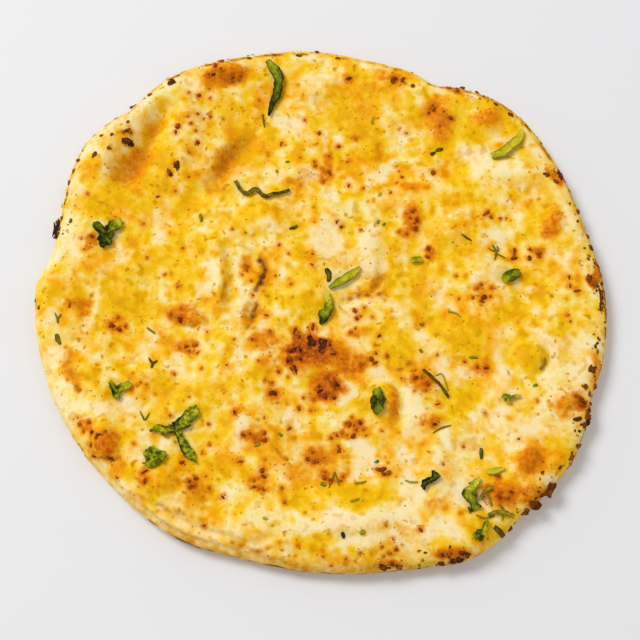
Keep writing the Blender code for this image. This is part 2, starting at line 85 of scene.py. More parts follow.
# Puffs and blisters: x, y, half-length, half-width, turn in degrees, rise
PUFFS = (
    (-1, -32, 17, 11, 0, 3.8), (93, -31, 10, 9, 0, 3.4), (64, -22, 24, 14, -8, 2.3),
    (88, 60, 21, 10, -18, 3.4), (88, -77, 10, 7, 68, 3.4), (108, -51, 7, 6, 0, 2.8),
    (28, -52, 9, 11, 0, 3.2), (-93, -72, 9, 10, 0, 3.4), (-67, -87, 9, 8, 0, 2.8),
    (77, -93, 8, 7, 0, 2.4), (-46, 111, 14, 7, 5, 3.0), (-66, 77, 25, 13, 80, 3.2),
    (58, 84, 14, 9, 72, 2.2), (80, 86, 9, 8, 0, 2.0), (42, 35, 11, 7, 80, 2.3),
    (107, 33, 9, 6, 60, 1.8), (48, -60, 8, 6, 20, 2.1), (-59, -12, 10, 5, -10, 2.0),
    (-86, 5, 15, 10, 90, 1.8), (-14, 61, 14, 9, 0, 1.8), (22, 20, 20, 9, 88, 1.8),
    (60, 30, 14, 9, 30, 1.5), (-2, 104, 14, 9, 0, 1.7), (76, 12, 12, 9, 20, 1.6),
    (-30, 35, 15, 9, 10, 1.5), (8, -106, 26, 7, 2, 2.0), (104, -22, 12, 9, 90, 1.7),
    (-36, -62, 12, 9, 60, 1.6), (50, -84, 17, 10, 90, 1.9), (-75, -42, 14, 11, 20, 1.6),
)
# Dents between the puffs, in the same form with the rise below zero
DENTS = (
    (-31, -12, 11, 4, 85, -2.1), (26, 5, 7, 3, 74, -1.5), (-105, -8, 8, 5, 88, -1.9),
    (-88, 60, 13, 9, 52, -1.9), (-43, 66, 13, 6, 68, -2.6), (14, -85, 14, 7, 4, -1.4),
    (-20, 6, 13, 9, 90, -1.2), (60, 60, 11, 8, 0, -1.3), (-112, 35, 9, 6, 80, -1.0),
    (-2, -28, 9, 5, 0, -2.4), (70, -45, 13, 8, 0, -1.2), (-45, -95, 12, 8, 30, -1.2),
)
# Ridges and creases: points along the line, half-width, rise
FOLDS = (
    (((-102, 64), (-94, 79), (-83, 91), (-71, 100)), 7.0, 2.8),
    (((-72, 91), (-78, 80), (-82, 70), (-91, 57)), 4.6, -3.2),
    (((-33, 76), (-42, 67), (-50, 57), (-59, 48)), 4.6, -2.6),
    (((-48, 24), (-45, 10), (-46, -7)), 3.2, 2.2),
    (((-41, 22), (-39, 10), (-40, -4)), 2.8, -1.2),
    (((11, -5), (20, -1), (31, 0)), 2.6, -1.3),
    (((101, -26), (102, -34), (97, -40)), 3.0, -1.5),
    (((-35, -117), (-28, -114), (-20, -112)), 3.0, -1.4),
    (((36, -46), (38, -54), (33, -63)), 2.8, -1.2),
)
FLANK_BEARINGS = (222.0, 258.0)
FLANK_FADE = 5.0
FLANK_CREASES = ((30.0, 9.0, 1.5), (60.0, 9.0, 1.3))    # angle round the edge, half-width, depth

# The skin's mesh: rings of a six-sided net, those that round the edge over, and the underside
NET_RINGS = 150
ROLL_RINGS = 22
EDGE_TURNS = (105.0, 120.0, 138.0, 160.0, 180.0)
UNDER_RINGS = 26
SECTOR = 60.0
NET_MIDDLE = 1e-6       # a corner nearer than this is the middle of the net
MESH_SLANT = (1.0, 0.618, 0.271)    # corners and faces are counted along this direction

# Fine relief of the skin: length and height of each grain, and how much toasted places add
GRAINS = ((6.5, 0.30), (2.7, 0.22))
TOAST_CRAG = (2.3, 0.45)
CRAG_GAIN = 1.6                 # steepness of the crags, before their height
UNDER_BLISTERS = (11.0, 0.7)
BLISTER_SLOPE = (2.2, 0.1)      # how steep the blisters are, and how much of the noise is left out
RELIEF_TURN = 100.0             # past this turn round the edge there is no fine relief
UNDER_FLAT = (170.0, 0.96)      # the blisters lie past this turn and within this share of the reach


def round_the_rim(values, bearing):
    """Smooth periodic reading of equally spaced values, for bearings in degrees."""
    values = np.asarray(values, dtype=float)
    count = len(values)
    place = np.mod(bearing, 360.0) * count / 360.0
    start = np.floor(place).astype(int)
    t = place - start
    before, left, right, after = (values[(start + k) % count] for k in (-1, 0, 1, 2))
    slope_left = (right - before) / 2
    slope_right = (after - left) / 2
    return (left * (2 * t**3 - 3 * t**2 + 1) + slope_left * (t**3 - 2 * t**2 + t)
            + right * (3 * t**2 - 2 * t**3) + slope_right * (t**3 - t**2))


def bearing_off(bearing, centre):
    """Degrees from one bearing to another, the short way round."""
    return (bearing - centre + 180.0) % 360.0 - 180.0


def bell(off, half_width):
    """1 where the distance is zero, fading to 0 on both sides."""
    return np.exp(-(off / half_width) ** 2)


def rim_reach(bearing):
    """Distance from the middle to the rim's widest line."""
    reach = round_the_rim(RIM_REACH, bearing)
    for centre, half_width, pull in RIM_PULLS:
        reach = reach + pull * bell(bearing_off(bearing, centre), half_width)
    return reach


def oval_share(x, y, centre_x, centre_y, half_length, half_width, turn):
    """How far a place lies from an oval's middle, as a share of the way to its edge."""
    angle = math.radians(turn)
    along = (x - centre_x) * math.cos(angle) + (y - centre_y) * math.sin(angle)
    across = (y - centre_y) * math.cos(angle) - (x - centre_x) * math.sin(angle)
    return np.hypot(along / half_length, across / half_width)


def puff(x, y, centre_x, centre_y, half_length, half_width, turn, rise):
    """A rounded swelling, or a dent where the rise is below zero."""
    share = oval_share(x, y, centre_x, centre_y, half_length, half_width, turn)
    return rise * np.clip(1.0 - share**PUFF_FULLNESS, 0.0, None) ** 2 * (share < 1.0)


def line_distance(x, y, line):
    """Distance from a place to a line of points."""
    nearest = np.full(np.shape(x), np.inf)
    for (ax, ay), (bx, by) in zip(line, line[1:]):
        length_squared = (bx - ax) ** 2 + (by - ay) ** 2
        t = np.clip(((x - ax) * (bx - ax) + (y - ay) * (by - ay)) / length_squared, 0.0, 1.0)
        nearest = np.minimum(nearest, np.hypot(x - ax - t * (bx - ax), y - ay - t * (by - ay)))
    return nearest


def wave(x, y, length, height, layer=WAVE_SLICE):
    """Unevenness of a given length, from a smooth noise."""
    places = zip(np.ravel(x) / length, np.ravel(y) / length)
    values = [noise.noise(Vector((u, v, layer))) for u, v in places]
    return height * np.reshape(values, np.shape(x))


def top_height(x, y):
    """Height of the bread's top before its edge rounds over."""
    bearing = np.degrees(np.arctan2(y, x))
    ridge_reach = rim_reach(bearing) - round_the_rim(RIM_ROLL, bearing)
    inside = np.clip(ridge_reach - np.hypot(x, y), 0.0, None)
    ridge = round_the_rim(RIM_HEIGHT, bearing) - FIELD_HEIGHT
    height = FIELD_HEIGHT + ridge * bell(inside, RIM_SHOULDER)
    for length, swell in WAVES:
        height = height + wave(x, y, length, swell)
    for swelling in PUFFS + DENTS:
        height = height + puff(x, y, *swelling)
    for line, half_width, rise in FOLDS:
        height = height + rise * bell(line_distance(x, y, line), half_width)
    return height


def crust_points(bearing, reach_share, turn):
    """Points of the skin. The turn round the edge is 0 on top and 90 at the widest line."""
    reach = rim_reach(bearing)
    roll = round_the_rim(RIM_ROLL, bearing)
    lean = np.radians(turn)
    distance = (reach - roll) * reach_share + roll * np.sin(lean) * (turn <= 90.0)
    tucked = reach - UNDER_TUCK * (1.0 - np.sin(lean))
    distance = np.where(turn > 90.0, tucked * reach_share, distance)
    out_x, out_y = np.cos(np.radians(bearing)), np.sin(np.radians(bearing))
    x, y = distance * out_x, distance * out_y
    above = top_height(x, y) - WIDEST_HEIGHT
    height = WIDEST_HEIGHT + np.where(turn > 90.0, WIDEST_HEIGHT, above) * np.cos(lean)
    first, last = FLANK_BEARINGS
    window = 1.0 / (1.0 + np.exp((first - bearing % 360.0) / FLANK_FADE))
    window = window / (1.0 + np.exp((bearing % 360.0 - last) / FLANK_FADE))
    for centre, half_width, depth in FLANK_CREASES:
        sink = depth * window * bell(turn - centre, half_width)
        x = x - sink * np.sin(lean) * out_x
        y = y - sink * np.sin(lean) * out_y
        height = height - sink * np.cos(lean)
    return np.stack([x, y, np.maximum(height, 0.0)], axis=-1)


def net_turn(bm):
    """Turn that brings a corner of the net onto the +X axis."""
    far = max(bm.verts, key=lambda vert: round(vert.co.length, 4))
    return -math.atan2(far.co.y, far.co.x)


def net_place(corner):
    """Bearing and ring share of a point in the flat six-sided net."""
    side = math.radians(SECTOR)
    sector = int((math.atan2(corner.y, corner.x) % (2 * math.pi)) / side)
    first = Vector((math.cos(sector * side), math.sin(sector * side)))
    second = Vector((math.cos((sector + 1) * side), math.sin((sector + 1) * side)))
    area = first.x * second.y - first.y * second.x
    part_first = (corner.x * second.y - corner.y * second.x) / area
    part_second = (first.x * corner.y - first.y * corner.x) / area
    share = part_first + part_second
    if share < NET_MIDDLE:
        return 0.0, 0.0
    return SECTOR * (sector + part_second / share), share


def corner_key(vert):
    """A corner's place, rounded so that it can be looked up."""
    return tuple(round(c, 6) for c in vert.co)


def slant(place):
    """How far a place lies along the direction in which corners and faces are counted."""
    return sum(share * part for share, part in zip(MESH_SLANT, place))


def order_faces(bm):
    """Count the faces along a slant, because extrusion adds them in no fixed order."""
    bm.faces.sort(key=lambda face: slant(face.calc_center_median()))


def skin_net():
    """The closed skin as a flat net, with bearing, share of the reach and turn of each point."""
    bm = bmesh.new()
    bmesh.ops.create_circle(bm, cap_ends=True, cap_tris=True, segments=6, radius=1.0)
    bmesh.ops.subdivide_edges(bm, edges=bm.edges[:], cuts=NET_RINGS - 1, use_grid_fill=True)
    bmesh.ops.rotate(bm, verts=bm.verts, matrix=Matrix.Rotation(net_turn(bm), 3, "Z"))
    roll_start = 1.0 - ROLL_RINGS / NET_RINGS
    places = {}
    for vert in bm.verts:
        bearing, share = net_place(vert.co)
        turn = max(0.0, (share - roll_start) / (1.0 - roll_start)) * 90.0
        places[vert] = (bearing, min(share / roll_start, 1.0), turn)
    edge = [e for e in bm.edges if e.is_boundary]
    stages = [(1.0, turn) for turn in EDGE_TURNS]
    stages += [(1.0 - k / UNDER_RINGS, 180.0) for k in range(1, UNDER_RINGS)]
    for reach_share, turn in stages:
        old_by_place = {corner_key(v): v for e in edge for v in e.verts}
        grown = bmesh.ops.extrude_edge_only(bm, edges=edge)["geom"]
        for vert in (g for g in grown if isinstance(g, bmesh.types.BMVert)):
            bearing = places[old_by_place[corner_key(vert)]][0]
            places[vert] = (bearing, reach_share, turn)
            vert.co.z -= 1.0
        edge = [g for g in grown if isinstance(g, bmesh.types.BMEdge) and g.is_boundary]
    floor_face = bmesh.ops.contextual_create(bm, geom=edge)["faces"]
    for vert in bmesh.ops.poke(bm, faces=floor_face)["verts"]:
        places[vert] = (0.0, 0.0, 180.0)
    bm.verts.index_update()
    return bm, np.array([places[vert] for vert in bm.verts])


bread_bm, bread_net = skin_net()
bearings, shares, turns = bread_net.T
skin = crust_points(bearings, shares, turns)
for vert, point in zip(bread_bm.verts, skin * MM):
    vert.co = point
bmesh.ops.triangulate(bread_bm, faces=bread_bm.faces[:])
bmesh.ops.recalc_face_normals(bread_bm, faces=bread_bm.faces[:])
order_faces(bread_bm)
bread_tree = BVHTree.FromBMesh(bread_bm)
skin_x, skin_y = skin[:, 0], skin[:, 1]

# Where the eye stands, in millimetres, and the level on which spots on the bread are placed.
# A spot lies where the line from the eye through its place on that level meets the skin.
EYE = (0.2, -204.0, 532.4)
SPOT_LEVEL = 10.0

# Colour of the skin in spots: x, y, half-length, half-width, turn in degrees, strength.
# Pale places are bare dough on ridges and puffs, and some of them are also painted light:
# the band at the front, (5, -104), is partly a painted highlight, and the strong spots at (-92, 71) and
# (-58, 89) lighten slopes that face away from the light.
PALE_SPOTS = (
    (-84, 88, 7, 5, 30, 1.0), (-97, 80, 11, 4, 68, 1.0), (-69, 80, 6, 5, 80, 1.0),
    (-63, 93, 7, 4, 0, 0.8), (-66, 108, 6, 4, 30, 0.9), (-57, 75, 6, 5, 90, 0.8),
    (-54, 62, 5, 5, 0, 0.6), (-100, 64, 8, 2.5, 88, 1.0), (-38, 99, 6, 5, 0, 0.9),
    (-34, 117, 7, 3, 5, 0.9), (0, 108, 8, 8, 0, 0.9), (-16, 86, 8, 5, 0, 1.1),
    (-12, 80, 6, 4, 0, 0.9), (32, 60, 10, 4, 60, 1.1), (36, 82, 5, 4, 0, 0.7),
    (46, 70, 6, 4, 0, 0.7), (8, 50, 7, 4, 0, 1.1), (-20, 60, 7, 5, 0, 0.8), (-36, 60, 5, 4, 0, 0.6),
    (56, 106, 6, 3, 0, 0.9), (74, 67, 9, 5, -8, 1.2), (92, 58, 12, 8, -30, 0.9),
    (72, 93, 5, 4, 90, 0.4), (86, 77, 5, 3, 0, 0.9), (-115, 30, 12, 5, 82, 1.0),
    (-72, 38, 5, 4, 90, 0.8), (-92, 19, 7, 4, 80, 1.0), (-84, 4, 7, 5, 0, 0.7),
    (-71, 5, 5, 3, 90, 0.9), (-48, 8, 15, 3.5, 78, 1.2), (-100, -5, 8, 2.5, 85, 0.8),
    (-118, -12, 4, 4, 0, 0.8), (-70, -15, 6, 4, 90, 0.8), (-78, -27, 6, 5, 90, 1.0),
    (-63, -36, 5, 5, 0, 0.9), (-117, -40, 13, 4.5, 100, 0.9), (-22, 33, 7, 5, 0, 0.9),
    (3, 27, 8, 7, 90, 1.1), (24, 22, 15, 4.5, 85, 1.2), (-33, -3, 6, 5, 90, 0.9),
    (8, 38, 6, 5, 0, 1.0), (12, -8, 7, 4, 90, 1.1), (34, -8, 6, 4, 90, 0.9),
    (-35, -28, 8, 3, 88, 1.1), (27, -40, 5, 4, 0, 0.9), (48, -25, 6, 4, 90, 0.8),
    (55, 35, 7, 6, 0, 0.4), (80, 27, 7, 5, 90, 1.1), (72, 14, 7, 5, 0, 0.9),
    (96, -4, 5, 2.5, 90, 0.9), (98, -22, 6, 4, -40, 1.0), (113, -32, 14, 9, 82, 0.9),
    (65, -37, 6, 4, 0, 0.9), (80, -40, 6, 5, 0, 0.9), (-92, -54, 8, 5, 0, 1.0),
    (-75, -58, 5, 4, 0, 0.8), (-55, -65, 7, 4, 0, 0.7), (-77, -72, 6, 5, 90, 0.9),
    (-62, -96, 7, 3, -15, 0.9), (-48, -97, 4, 3, 0, 0.8), (-33, -65, 8, 2.5, 85, 1.3),
    (-36, -92, 6, 4, 0, 0.8), (-12, -60, 7, 5, 90, 0.8), (13, -48, 6, 3.5, 90, 1.2),
    (40, -58, 12, 7, 88, 1.1), (20, -76, 9, 4, -38, 1.3), (15, -83, 5, 3, 0, 1.1),
    (5, -104, 26, 3.6, 0, 1.2), (38, -92, 16, 6, 88, 1.1), (12, -113, 6, 3, 0, 0.9),
    (56, -92, 7, 6, 0, 1.3), (60, -70, 9, 7, 0, 1.0), (75, -57, 7, 4, 0, 1.0),
    (92, -62, 8, 4, 0, 1.0), (84, -68, 6, 4, 0, 1.0), (68, -95, 6, 4, 90, 0.9),
    (50, -108, 10, 4, 5, 1.0), (98, -56, 6, 4, 0, 1.0), (-12, -119, 7, 2, -12, 0.9),
    (27, -110, 10, 6, 0, 1.6), (-92, 71, 5, 8, -30, 1.4), (-58, 89, 7, 6, 0, 1.5),
    (99, -43, 6, 6, 0, 1.0), (70, -95, 4, 5, 0, 0.8), (-20, -110, 7, 4, -5, 0.9),
    (12, 12, 5, 6, 0, 0.8), (80, -49, 7, 6, 0, 0.8), (-40, -10, 7, 4, 80, 0.9),
    (56, -80, 6, 5, 0, 0.8), (13, -109, 6, 4, 0, 1.3), (77, 8, 8, 6, 0, 1.0),
    (78, -22, 6, 5, 0, 0.7), (-28, -103, 8, 4, 0, 1.0), (102, -31, 4, 8, 0, 1.0),
    (-46, 98, 6, 4, 0, 0.9), (-64, 62, 5, 5, 0, 0.9), (-110, -22, 5, 6, 0, 0.9),
    (14, 6, 5, 5, 0, 0.9), (-52, -100, 6, 3, 0, 0.7), (80, -64, 7, 5, 0, 1.0),
    (52, -80, 6, 5, 0, 1.1), (-58, 20, 8, 2.2, 86, 1.0), (-53, -4, 7, 2, 82, 0.8),
    (-37, 20, 6, 2, 80, 0.8), (-74, 28, 6, 2, 84, 0.8), (-52, 34, 6, 2, 80, 0.8),
)
# Deep yellow places are where butter and turmeric pooled
BUTTER_SPOTS = (
    (-108, 58, 6, 5, 80, 1.0), (-100, 48, 10, 6, 0, 0.9), (-75, 55, 8, 6, 0, 0.8),
    (-95, 40, 10, 5, 0, 0.9), (-90, 0, 12, 7, 90, 1.0), (-60, 20, 10, 8, 90, 0.9),
    (-85, -7, 8, 7, 0, 0.9), (62, 95, 8, 5, 0, 0.8), (66, 55, 10, 6, 90, 0.7),
    (62, -20, 15, 9, -8, 0.95), (91, -30, 7, 8, 0, 1.1), (86, -12, 10, 8, 0, 1.0),
    (105, -70, 9, 6, 90, 0.9), (65, -50, 9, 7, 0, 1.0), (12, -92, 19, 5, 4, 1.0),
    (0, -113, 8, 4, 10, 1.0), (-45, -101, 9, 5, -10, 0.4), (-45, -80, 10, 8, 0, 0.8),
    (-70, -90, 9, 6, 0, 0.9), (33, -25, 9, 5, 90, 0.9), (45, 0, 12, 5, 90, 1.2),
    (-107, 62, 6, 4.5, 85, 1.2), (-124, -3, 5, 5, 0, 1.2), (-108, -37, 11, 3, 108, 1.2),
    (18, 96, 14, 9, 0, 0.7), (-40, 92, 9, 8, 90, 0.6), (104, 40, 9, 7, 90, 0.8),
    (66, 18, 9, 10, 0, 0.8), (101, 4, 6, 5, 0, 0.7), (-38, 36, 7, 5, 0, 0.5),
    (-5, 8, 8, 12, 0, 0.2), (-10, -5, 6, 5, 0, 0.8), (-64, -48, 10, 5, 0, 0.9),
    (-72, 10, 6, 9, 0, 0.5), (24, 68, 7, 6, 0, 0.7), (115, -15, 7, 5, 60, 0.7),
    (-82, 52, 10, 6, 0, 0.5), (70, 78, 9, 6, 0, 0.7), (97, 28, 6, 5, 0, 0.4),
    (88, 90, 11, 4, -42, 1.0), (-84, -86, 7, 4, -30, 1.2), (-58, 40, 8, 10, 0, 1.4),
    (-75, 69, 7, 7, 0, 1.3), (53, 31, 6, 7, 0, 0.7), (58, 70, 7, 6, 0, 1.2),
    (-82, -67, 5, 6, 0, 1.0), (-54, -72, 6, 5, 0, 0.7), (24, 113, 6, 4, 0, 0.8),
    (-81, -17, 5, 5, 0, 0.8), (-82, 44, 8, 6, 0, 0.9), (-25, 76, 5, 6, 0, 1.1),
    (-18, 94, 4, 5, 0, 0.8), (-64, 9, 6, 7, 0, 0.9), (16, 23, 4, 5, 0, 0.8),
    (-43, -64, 5, 5, 0, 0.9), (-79, -34, 5, 5, 0, 0.9), (-31, 70, 7, 8, 0, 1.2),
    (14, 104, 8, 6, 0, 0.9), (14, 57, 6, 6, 0, 0.9), (-73, -58, 5, 5, 0, 0.9),
    (-43, -22, 5, 4, 0, 0.8), (20, 89, 7, 10, 0, 0.6), (-109, 19, 4, 5, 0, 0.8),
    (-3, 84, 5, 5, 0, 0.8), (70, 97, 9, 4, -15, 1.0), (71, 84, 6, 8, 0, 0.8),
)
# Toasted places, from orange to brown
TOAST_SPOTS = (
    (-46, 111, 12, 6, 5, 0.66), (-87, 61, 12, 7, 55, 0.48), (-43, 66, 11, 5, 68, 0.36),
    (56, 87, 12, 6.5, 100, 0.58), (81, 88, 7, 6, 0, 0.58), (42, 36, 9, 5.5, 80, 0.52),
    (50.5, 19, 3.5, 3, 0, 0.6), (107, 33, 9, 5, 80, 0.6), (27, 70, 8, 3, 80, 0.42),
    (-26, 70, 7, 3, 100, 0.40), (3, 62, 8, 3.5, 80, 0.46), (-12, 54, 5, 3, 0, 0.45),
    (-33, 14, 5, 4, 90, 0.45), (-105, -8, 6, 3.5, 85, 0.55), (-104, 24, 4, 2.5, 80, 0.6),
    (-91, -15, 6, 4.5, 0, 0.28), (-61, -11, 10, 4.5, -15, 0.56), (-60, -26, 7, 5, 0, 0.44),
    (-20, -48, 5, 5, 0, 0.45), (-3, -29, 14, 8, 0, 1.0), (13, -34, 9, 6, 0, 0.72),
    (4, -45, 7, 7, 0, 0.95), (16, -20, 3.5, 3.5, 0, 0.50), (32, -53, 8, 3, 95, 0.62),
    (-11, -29, 9, 4, 85, 0.95), (-1, -76, 7, 5, 0, 0.46), (4, -85, 9, 5, 0, 0.40),
    (14, -64, 9, 5, 20, 0.38), (-28, -68, 6, 4, 0, 0.42), (-27, -87, 7, 5, 0, 0.34),
    (-9, -84, 6, 4, 0, 0.36), (-46, 68, 4, 4, 0, 0.45), (-36, -55, 5, 4, 0, 0.35),
    (-75, -86, 5, 3, 0, 0.40), (-109, -37, 10, 3.4, 105, 0.46), (71, 20, 8, 7, 0, 0.22),
    (100, 19, 4, 4, 0, 0.35), (74, 2, 6, 5, 0, 0.24), (66, 103, 7, 2, -15, 0.5),
    (-25, -70, 8, 6, 0, 0.25), (-20, -78, 8, 5, 0, 0.28), (-40, -80, 6, 7, 0, 0.22),
    (45, -43, 8, 5, 0, 0.52), (48, -60, 5.5, 4.5, 0, 0.50), (70, -37, 7, 4, 0, 0.38),
    (91, -78, 9, 6, 62, 0.70), (78, -92, 9, 7, 0, 0.60), (90, -93, 9, 5, 0, 0.60),
    (107, -52, 6.5, 6, 90, 0.50), (-92.5, -71, 7.5, 7, 90, 0.76), (-102, -62, 4, 3, 0, 0.42),
    (-68, -87, 8, 6, 0, 0.32), (-54, -88, 5, 4, 0, 0.5), (5, -122, 7, 2.5, 0, 0.3),
    (57, -119, 9, 3.4, 5, 0.76), (28, -123, 8, 2.2, 0, 0.75), (122, -36, 10, 2.5, 80, 0.5),
    (30, 112, 5, 4, 0, 0.45), (50, -98, 6, 3, 0, 0.4), (-78, -97, 7, 2.5, -28, 0.4),
    (-25, -24, 6, 7, 0, 0.5), (-22, -34, 5, 6, 0, 0.4), (22, 93, 6, 5, 0, 0.35),
    (-33, -12, 6, 3, 86, 0.42), (25, 4, 5, 2.5, 80, 0.4), (20, -1.5, 9, 1.3, 5, 0.5),
    (125, 6, 5, 3, 80, 0.8), (36, 109, 5, 5, 0, 0.5), (-30, 88, 7, 3, 90, 0.3),
    (110, 56, 6, 3, 110, 0.7), (114, -52, 4, 5, 0, 0.5), (-43, 0, 8, 1.3, 86, 0.3),
    (-77, 82, 9, 2.2, 68, 0.35), (-88, -82, 6, 4, 40, 0.35), (45, -2, 5, 9, 0, 0.25),
    (-38, 82, 7, 14, 0, 0.2), (20, 88, 8, 16, 0, 0.28), (66, 22, 6, 7, 0, 0.2),
    (-31, 72, 7, 8, 0, 0.34), (-50, 54, 7, 7, 0, 0.2), (-40, 63, 6, 8, 0, 0.22),
    (-58, 44, 6, 5, 0, 0.2), (14, 104, 9, 7, 0, 0.34), (-87, 52, 7, 6, 0, 0.3),
    (-93, 60, 6, 9, -20, 0.3), (-26, 101, 5, 7, 0, 0.3), (18, 65, 7, 7, 0, 0.3),
    (50, 2, 6, 8, 0, 0.25), (-7, 59, 5, 5, 0, 0.3), (26, -4, 7, 3, 0, 0.3), (12, 60, 6, 6, 0, 0.25),
    (53, 30, 5, 5, 0, 0.2), (-91, 41, 7, 5, 0, 0.25),
)
# Dull brown lines, of dried dough and of painted shade in creases, dents and valleys: points along each,
# half-width, strength
BROWN_AND_CREASE_SHADE_LINES = (
    (((-28.5, -7), (-29.5, -12), (-31, -17)), 2.5, 0.74),
    (((11, -4.5), (17, -2.5), (29, -1)), 1.2, 0.75), (((24.5, 1), (26, 4), (28, 8)), 1.9, 0.70),
    (((-33, 17), (-33, 13)), 2.6, 0.5), (((-27, 16), (-25.2, 10), (-26, 5), (-28.5, 0)), 1.5, 1.1),
    (((-43.6, 10), (-43, 2), (-44, -6)), 0.8, 0.6), (((-37, 75), (-42, 65), (-51, 53)), 5.2, 0.56),
    (((-78, 84), (-81, 74), (-84, 64), (-88, 53)), 4.0, 0.44),
    (((-16, -90), (-14, -97)), 1.2, 0.55), (((-20, -72), (-14, -78)), 0.8, 0.6),
    (((-7, 52), (-14, 56)), 1.4, 0.5), (((97, -26), (99.5, -31), (98, -37)), 1.0, 0.5),
    (((36, -30), (40, -34), (34, -38)), 1.2, 0.6),
    (((-99, -66), (-99.5, -71), (-98, -76)), 0.7, 0.5), (((-97, -68), (-93, -65)), 0.9, 0.9),
    (((-98, -76), (-92, -77.5), (-86, -77)), 0.7, 0.8),
    (((-64, -15), (-58, -16.5), (-52, -14)), 0.8, 0.6),
    (((-84, -91), (-62, -100), (-45, -105)), 1.0, 0.5), (((-36, -114), (-24, -117)), 1.6, 0.6),
    (((-40, -116.5), (-28, -119), (-16, -121)), 1.8, 0.5),
    (((-112, -27), (-110, -36), (-106, -46)), 1.1, 0.6),
    (((-116, 0), (-113, -5), (-106, -9)), 1.1, 0.5),
    (((-50, 114), (-42, 110), (-38, 108)), 0.9, 0.7), (((41, -47), (48, -46.5)), 0.8, 0.8),
    (((28, 66), (27, 74)), 1.2, 0.5), (((52, 96), (59, 90), (56, 84)), 1.3, 0.5),
    (((33, -46), (34.5, -53), (31, -59)), 0.9, 0.6), (((85, -76), (90, -82)), 0.9, 0.4),
    (((3, 68), (5, 58)), 1.3, 0.45), (((-44, 24), (-43, 16)), 0.8, 0.35),
    (((14, -68), (22, -66)), 0.8, 0.4), (((-30, -117), (-14, -113)), 1.0, 0.5),
)
# Browned stretches of the rim's edge: first and last bearing, strength
# The front stretch, 234 to 304, is browned crust and painted shade along the bottom of the front wall
EDGE_BROWN = (
    (-40, -14, 0.7), (-14, 8, 0.9), (8, 30, 0.45), (30, 68, 0.65), (68, 90, 0.5), (90, 126, 0.75),
    (126, 170, 0.5), (214, 234, 0.35), (234, 304, 1.0),
)
EDGE_TURN = (60.0, 32.0, 12.0)  # where on the edge they lie, higher at the back by, and half-width
EDGE_WANDER = (9.0, 8.0)        # how the line wanders over the edge: length and degrees
EDGE_PATCHES = (5.0, 0.8, 1.5, 0.15, 1.1)    # length, average, swing, least and most
EDGE_FADE = (0.42, 28.0)        # how brown the side of the rim is below the line, and how far down
EDGE_TOAST = ((-14, 6, 0.75), (96, 118, 0.3), (318, 348, 0.4))
EDGE_SOFTNESS = 2.0             # degrees over which a browned stretch ends
# The skin by its turn round the edge: where its side, its front wall and its underside start, and
# over how many degrees they come in
SIDE_TURNS = (80.0, 25.0)
WALL_TURNS = (35.0, 25.0)
BELOW_TURNS = (120.0, 30.0)
UPPER_TURN = 130.0              # spots are seen on the skin before this turn
UNDER_TURN = 165.0              # the flat base starts here
SIDE_PATCHES = ((9.0, 1.0, 21.0), (3.5, 0.6, 22.0))      # length, height and slice
UNDER_PATCHES = ((22.0, 1.0, 23.0), (11.0, 0.5, 24.0))
UNDER_BROWN = (30.0, 0.6)       # brown clouds of the base: length and strength
SIDE_TOAST = (0.10, 0.18, 0.5, 0.8)     # level, added underneath, patchiness, most
SIDE_TONE = (0.30, 0.15, 0.3)           # the same without a most
FRONT_WALL = (224.0, 296.0)     # bearings of the wall under the front rim
WALL_SOFTNESS = 8.0
WALL_TONE = (0.12, 0.25, 0.85)  # level, patchiness and share
WALL_TOAST_LOSS = 0.6
WALL_TAN = (0.38, 0.5)          # how dull and brown it is, and its patchiness
# Bare pale stretches of the rim: first and last bearing, width, strength
RIM_PALE = (
    (-38, -2, 13, 0.7), (6, 30, 10, 0.8), (30, 42, 10, 0.8), (42, 56, 4, 0.6), (58, 66, 7, 0.6),
    (76, 98, 9, 0.4), (98, 126, 8, 0.4), (126, 160, 12, 0.8), (160, 174, 15, 0.9),
    (189, 216, 13, 0.75), (216, 236, 8, 0.7), (236, 268, 10, 0.7), (282, 302, 7, 0.4),
    (304, 320, 6, 0.3),
)
RIM_PALE_FADE = (1.35, 0.7)     # where they end inwards and how softly, as shares of their width
RIM_PALE_SOFTNESS = 5.0         # degrees over which they end along the rim
SMUDGES = 460                   # small browned dots: how many, their reach and their strength
SMUDGE_REACH = (0.6, 1.4)
SMUDGE_STRENGTH = (0.2, 0.8)
SMUDGE_SPAN = 0.96              # share of the rim's reach within which they lie
SMUDGE_LOSS = 0.6               # how much fainter they are on pale places
# Burnt places: x, y, half-length, half-width, turn, strength
CHAR_SPOTS = (
    (-11, -28, 3.4, 1.4, 0, 0.75), (1.5, -26, 3.5, 2.4, 60, 0.9), (-3.5, -24, 1.2, 4, 0, 0.8),
    (-12, -37, 1.2, 2.2, 20, 0.7), (7.5, -44, 1.2, 1.2, 0, 0.7), (-53, 112, 2, 0.9, 30, 0.5),
    (-95, -66.5, 1.8, 0.6, 35, 0.6), (-91, -77, 4, 0.6, -3, 0.6), (57, -120.5, 4, 0.9, 5, 0.7),
    (27, -123, 2.5, 1, 0, 0.7), (127.4, -4, 5, 1, 86, 0.9), (112.5, 57, 3.2, 1, 115, 1.0),
    (-70, 108, 2.4, 2, 0, 0.9), (62, -118, 2.5, 1.4, 0, 0.9),
)
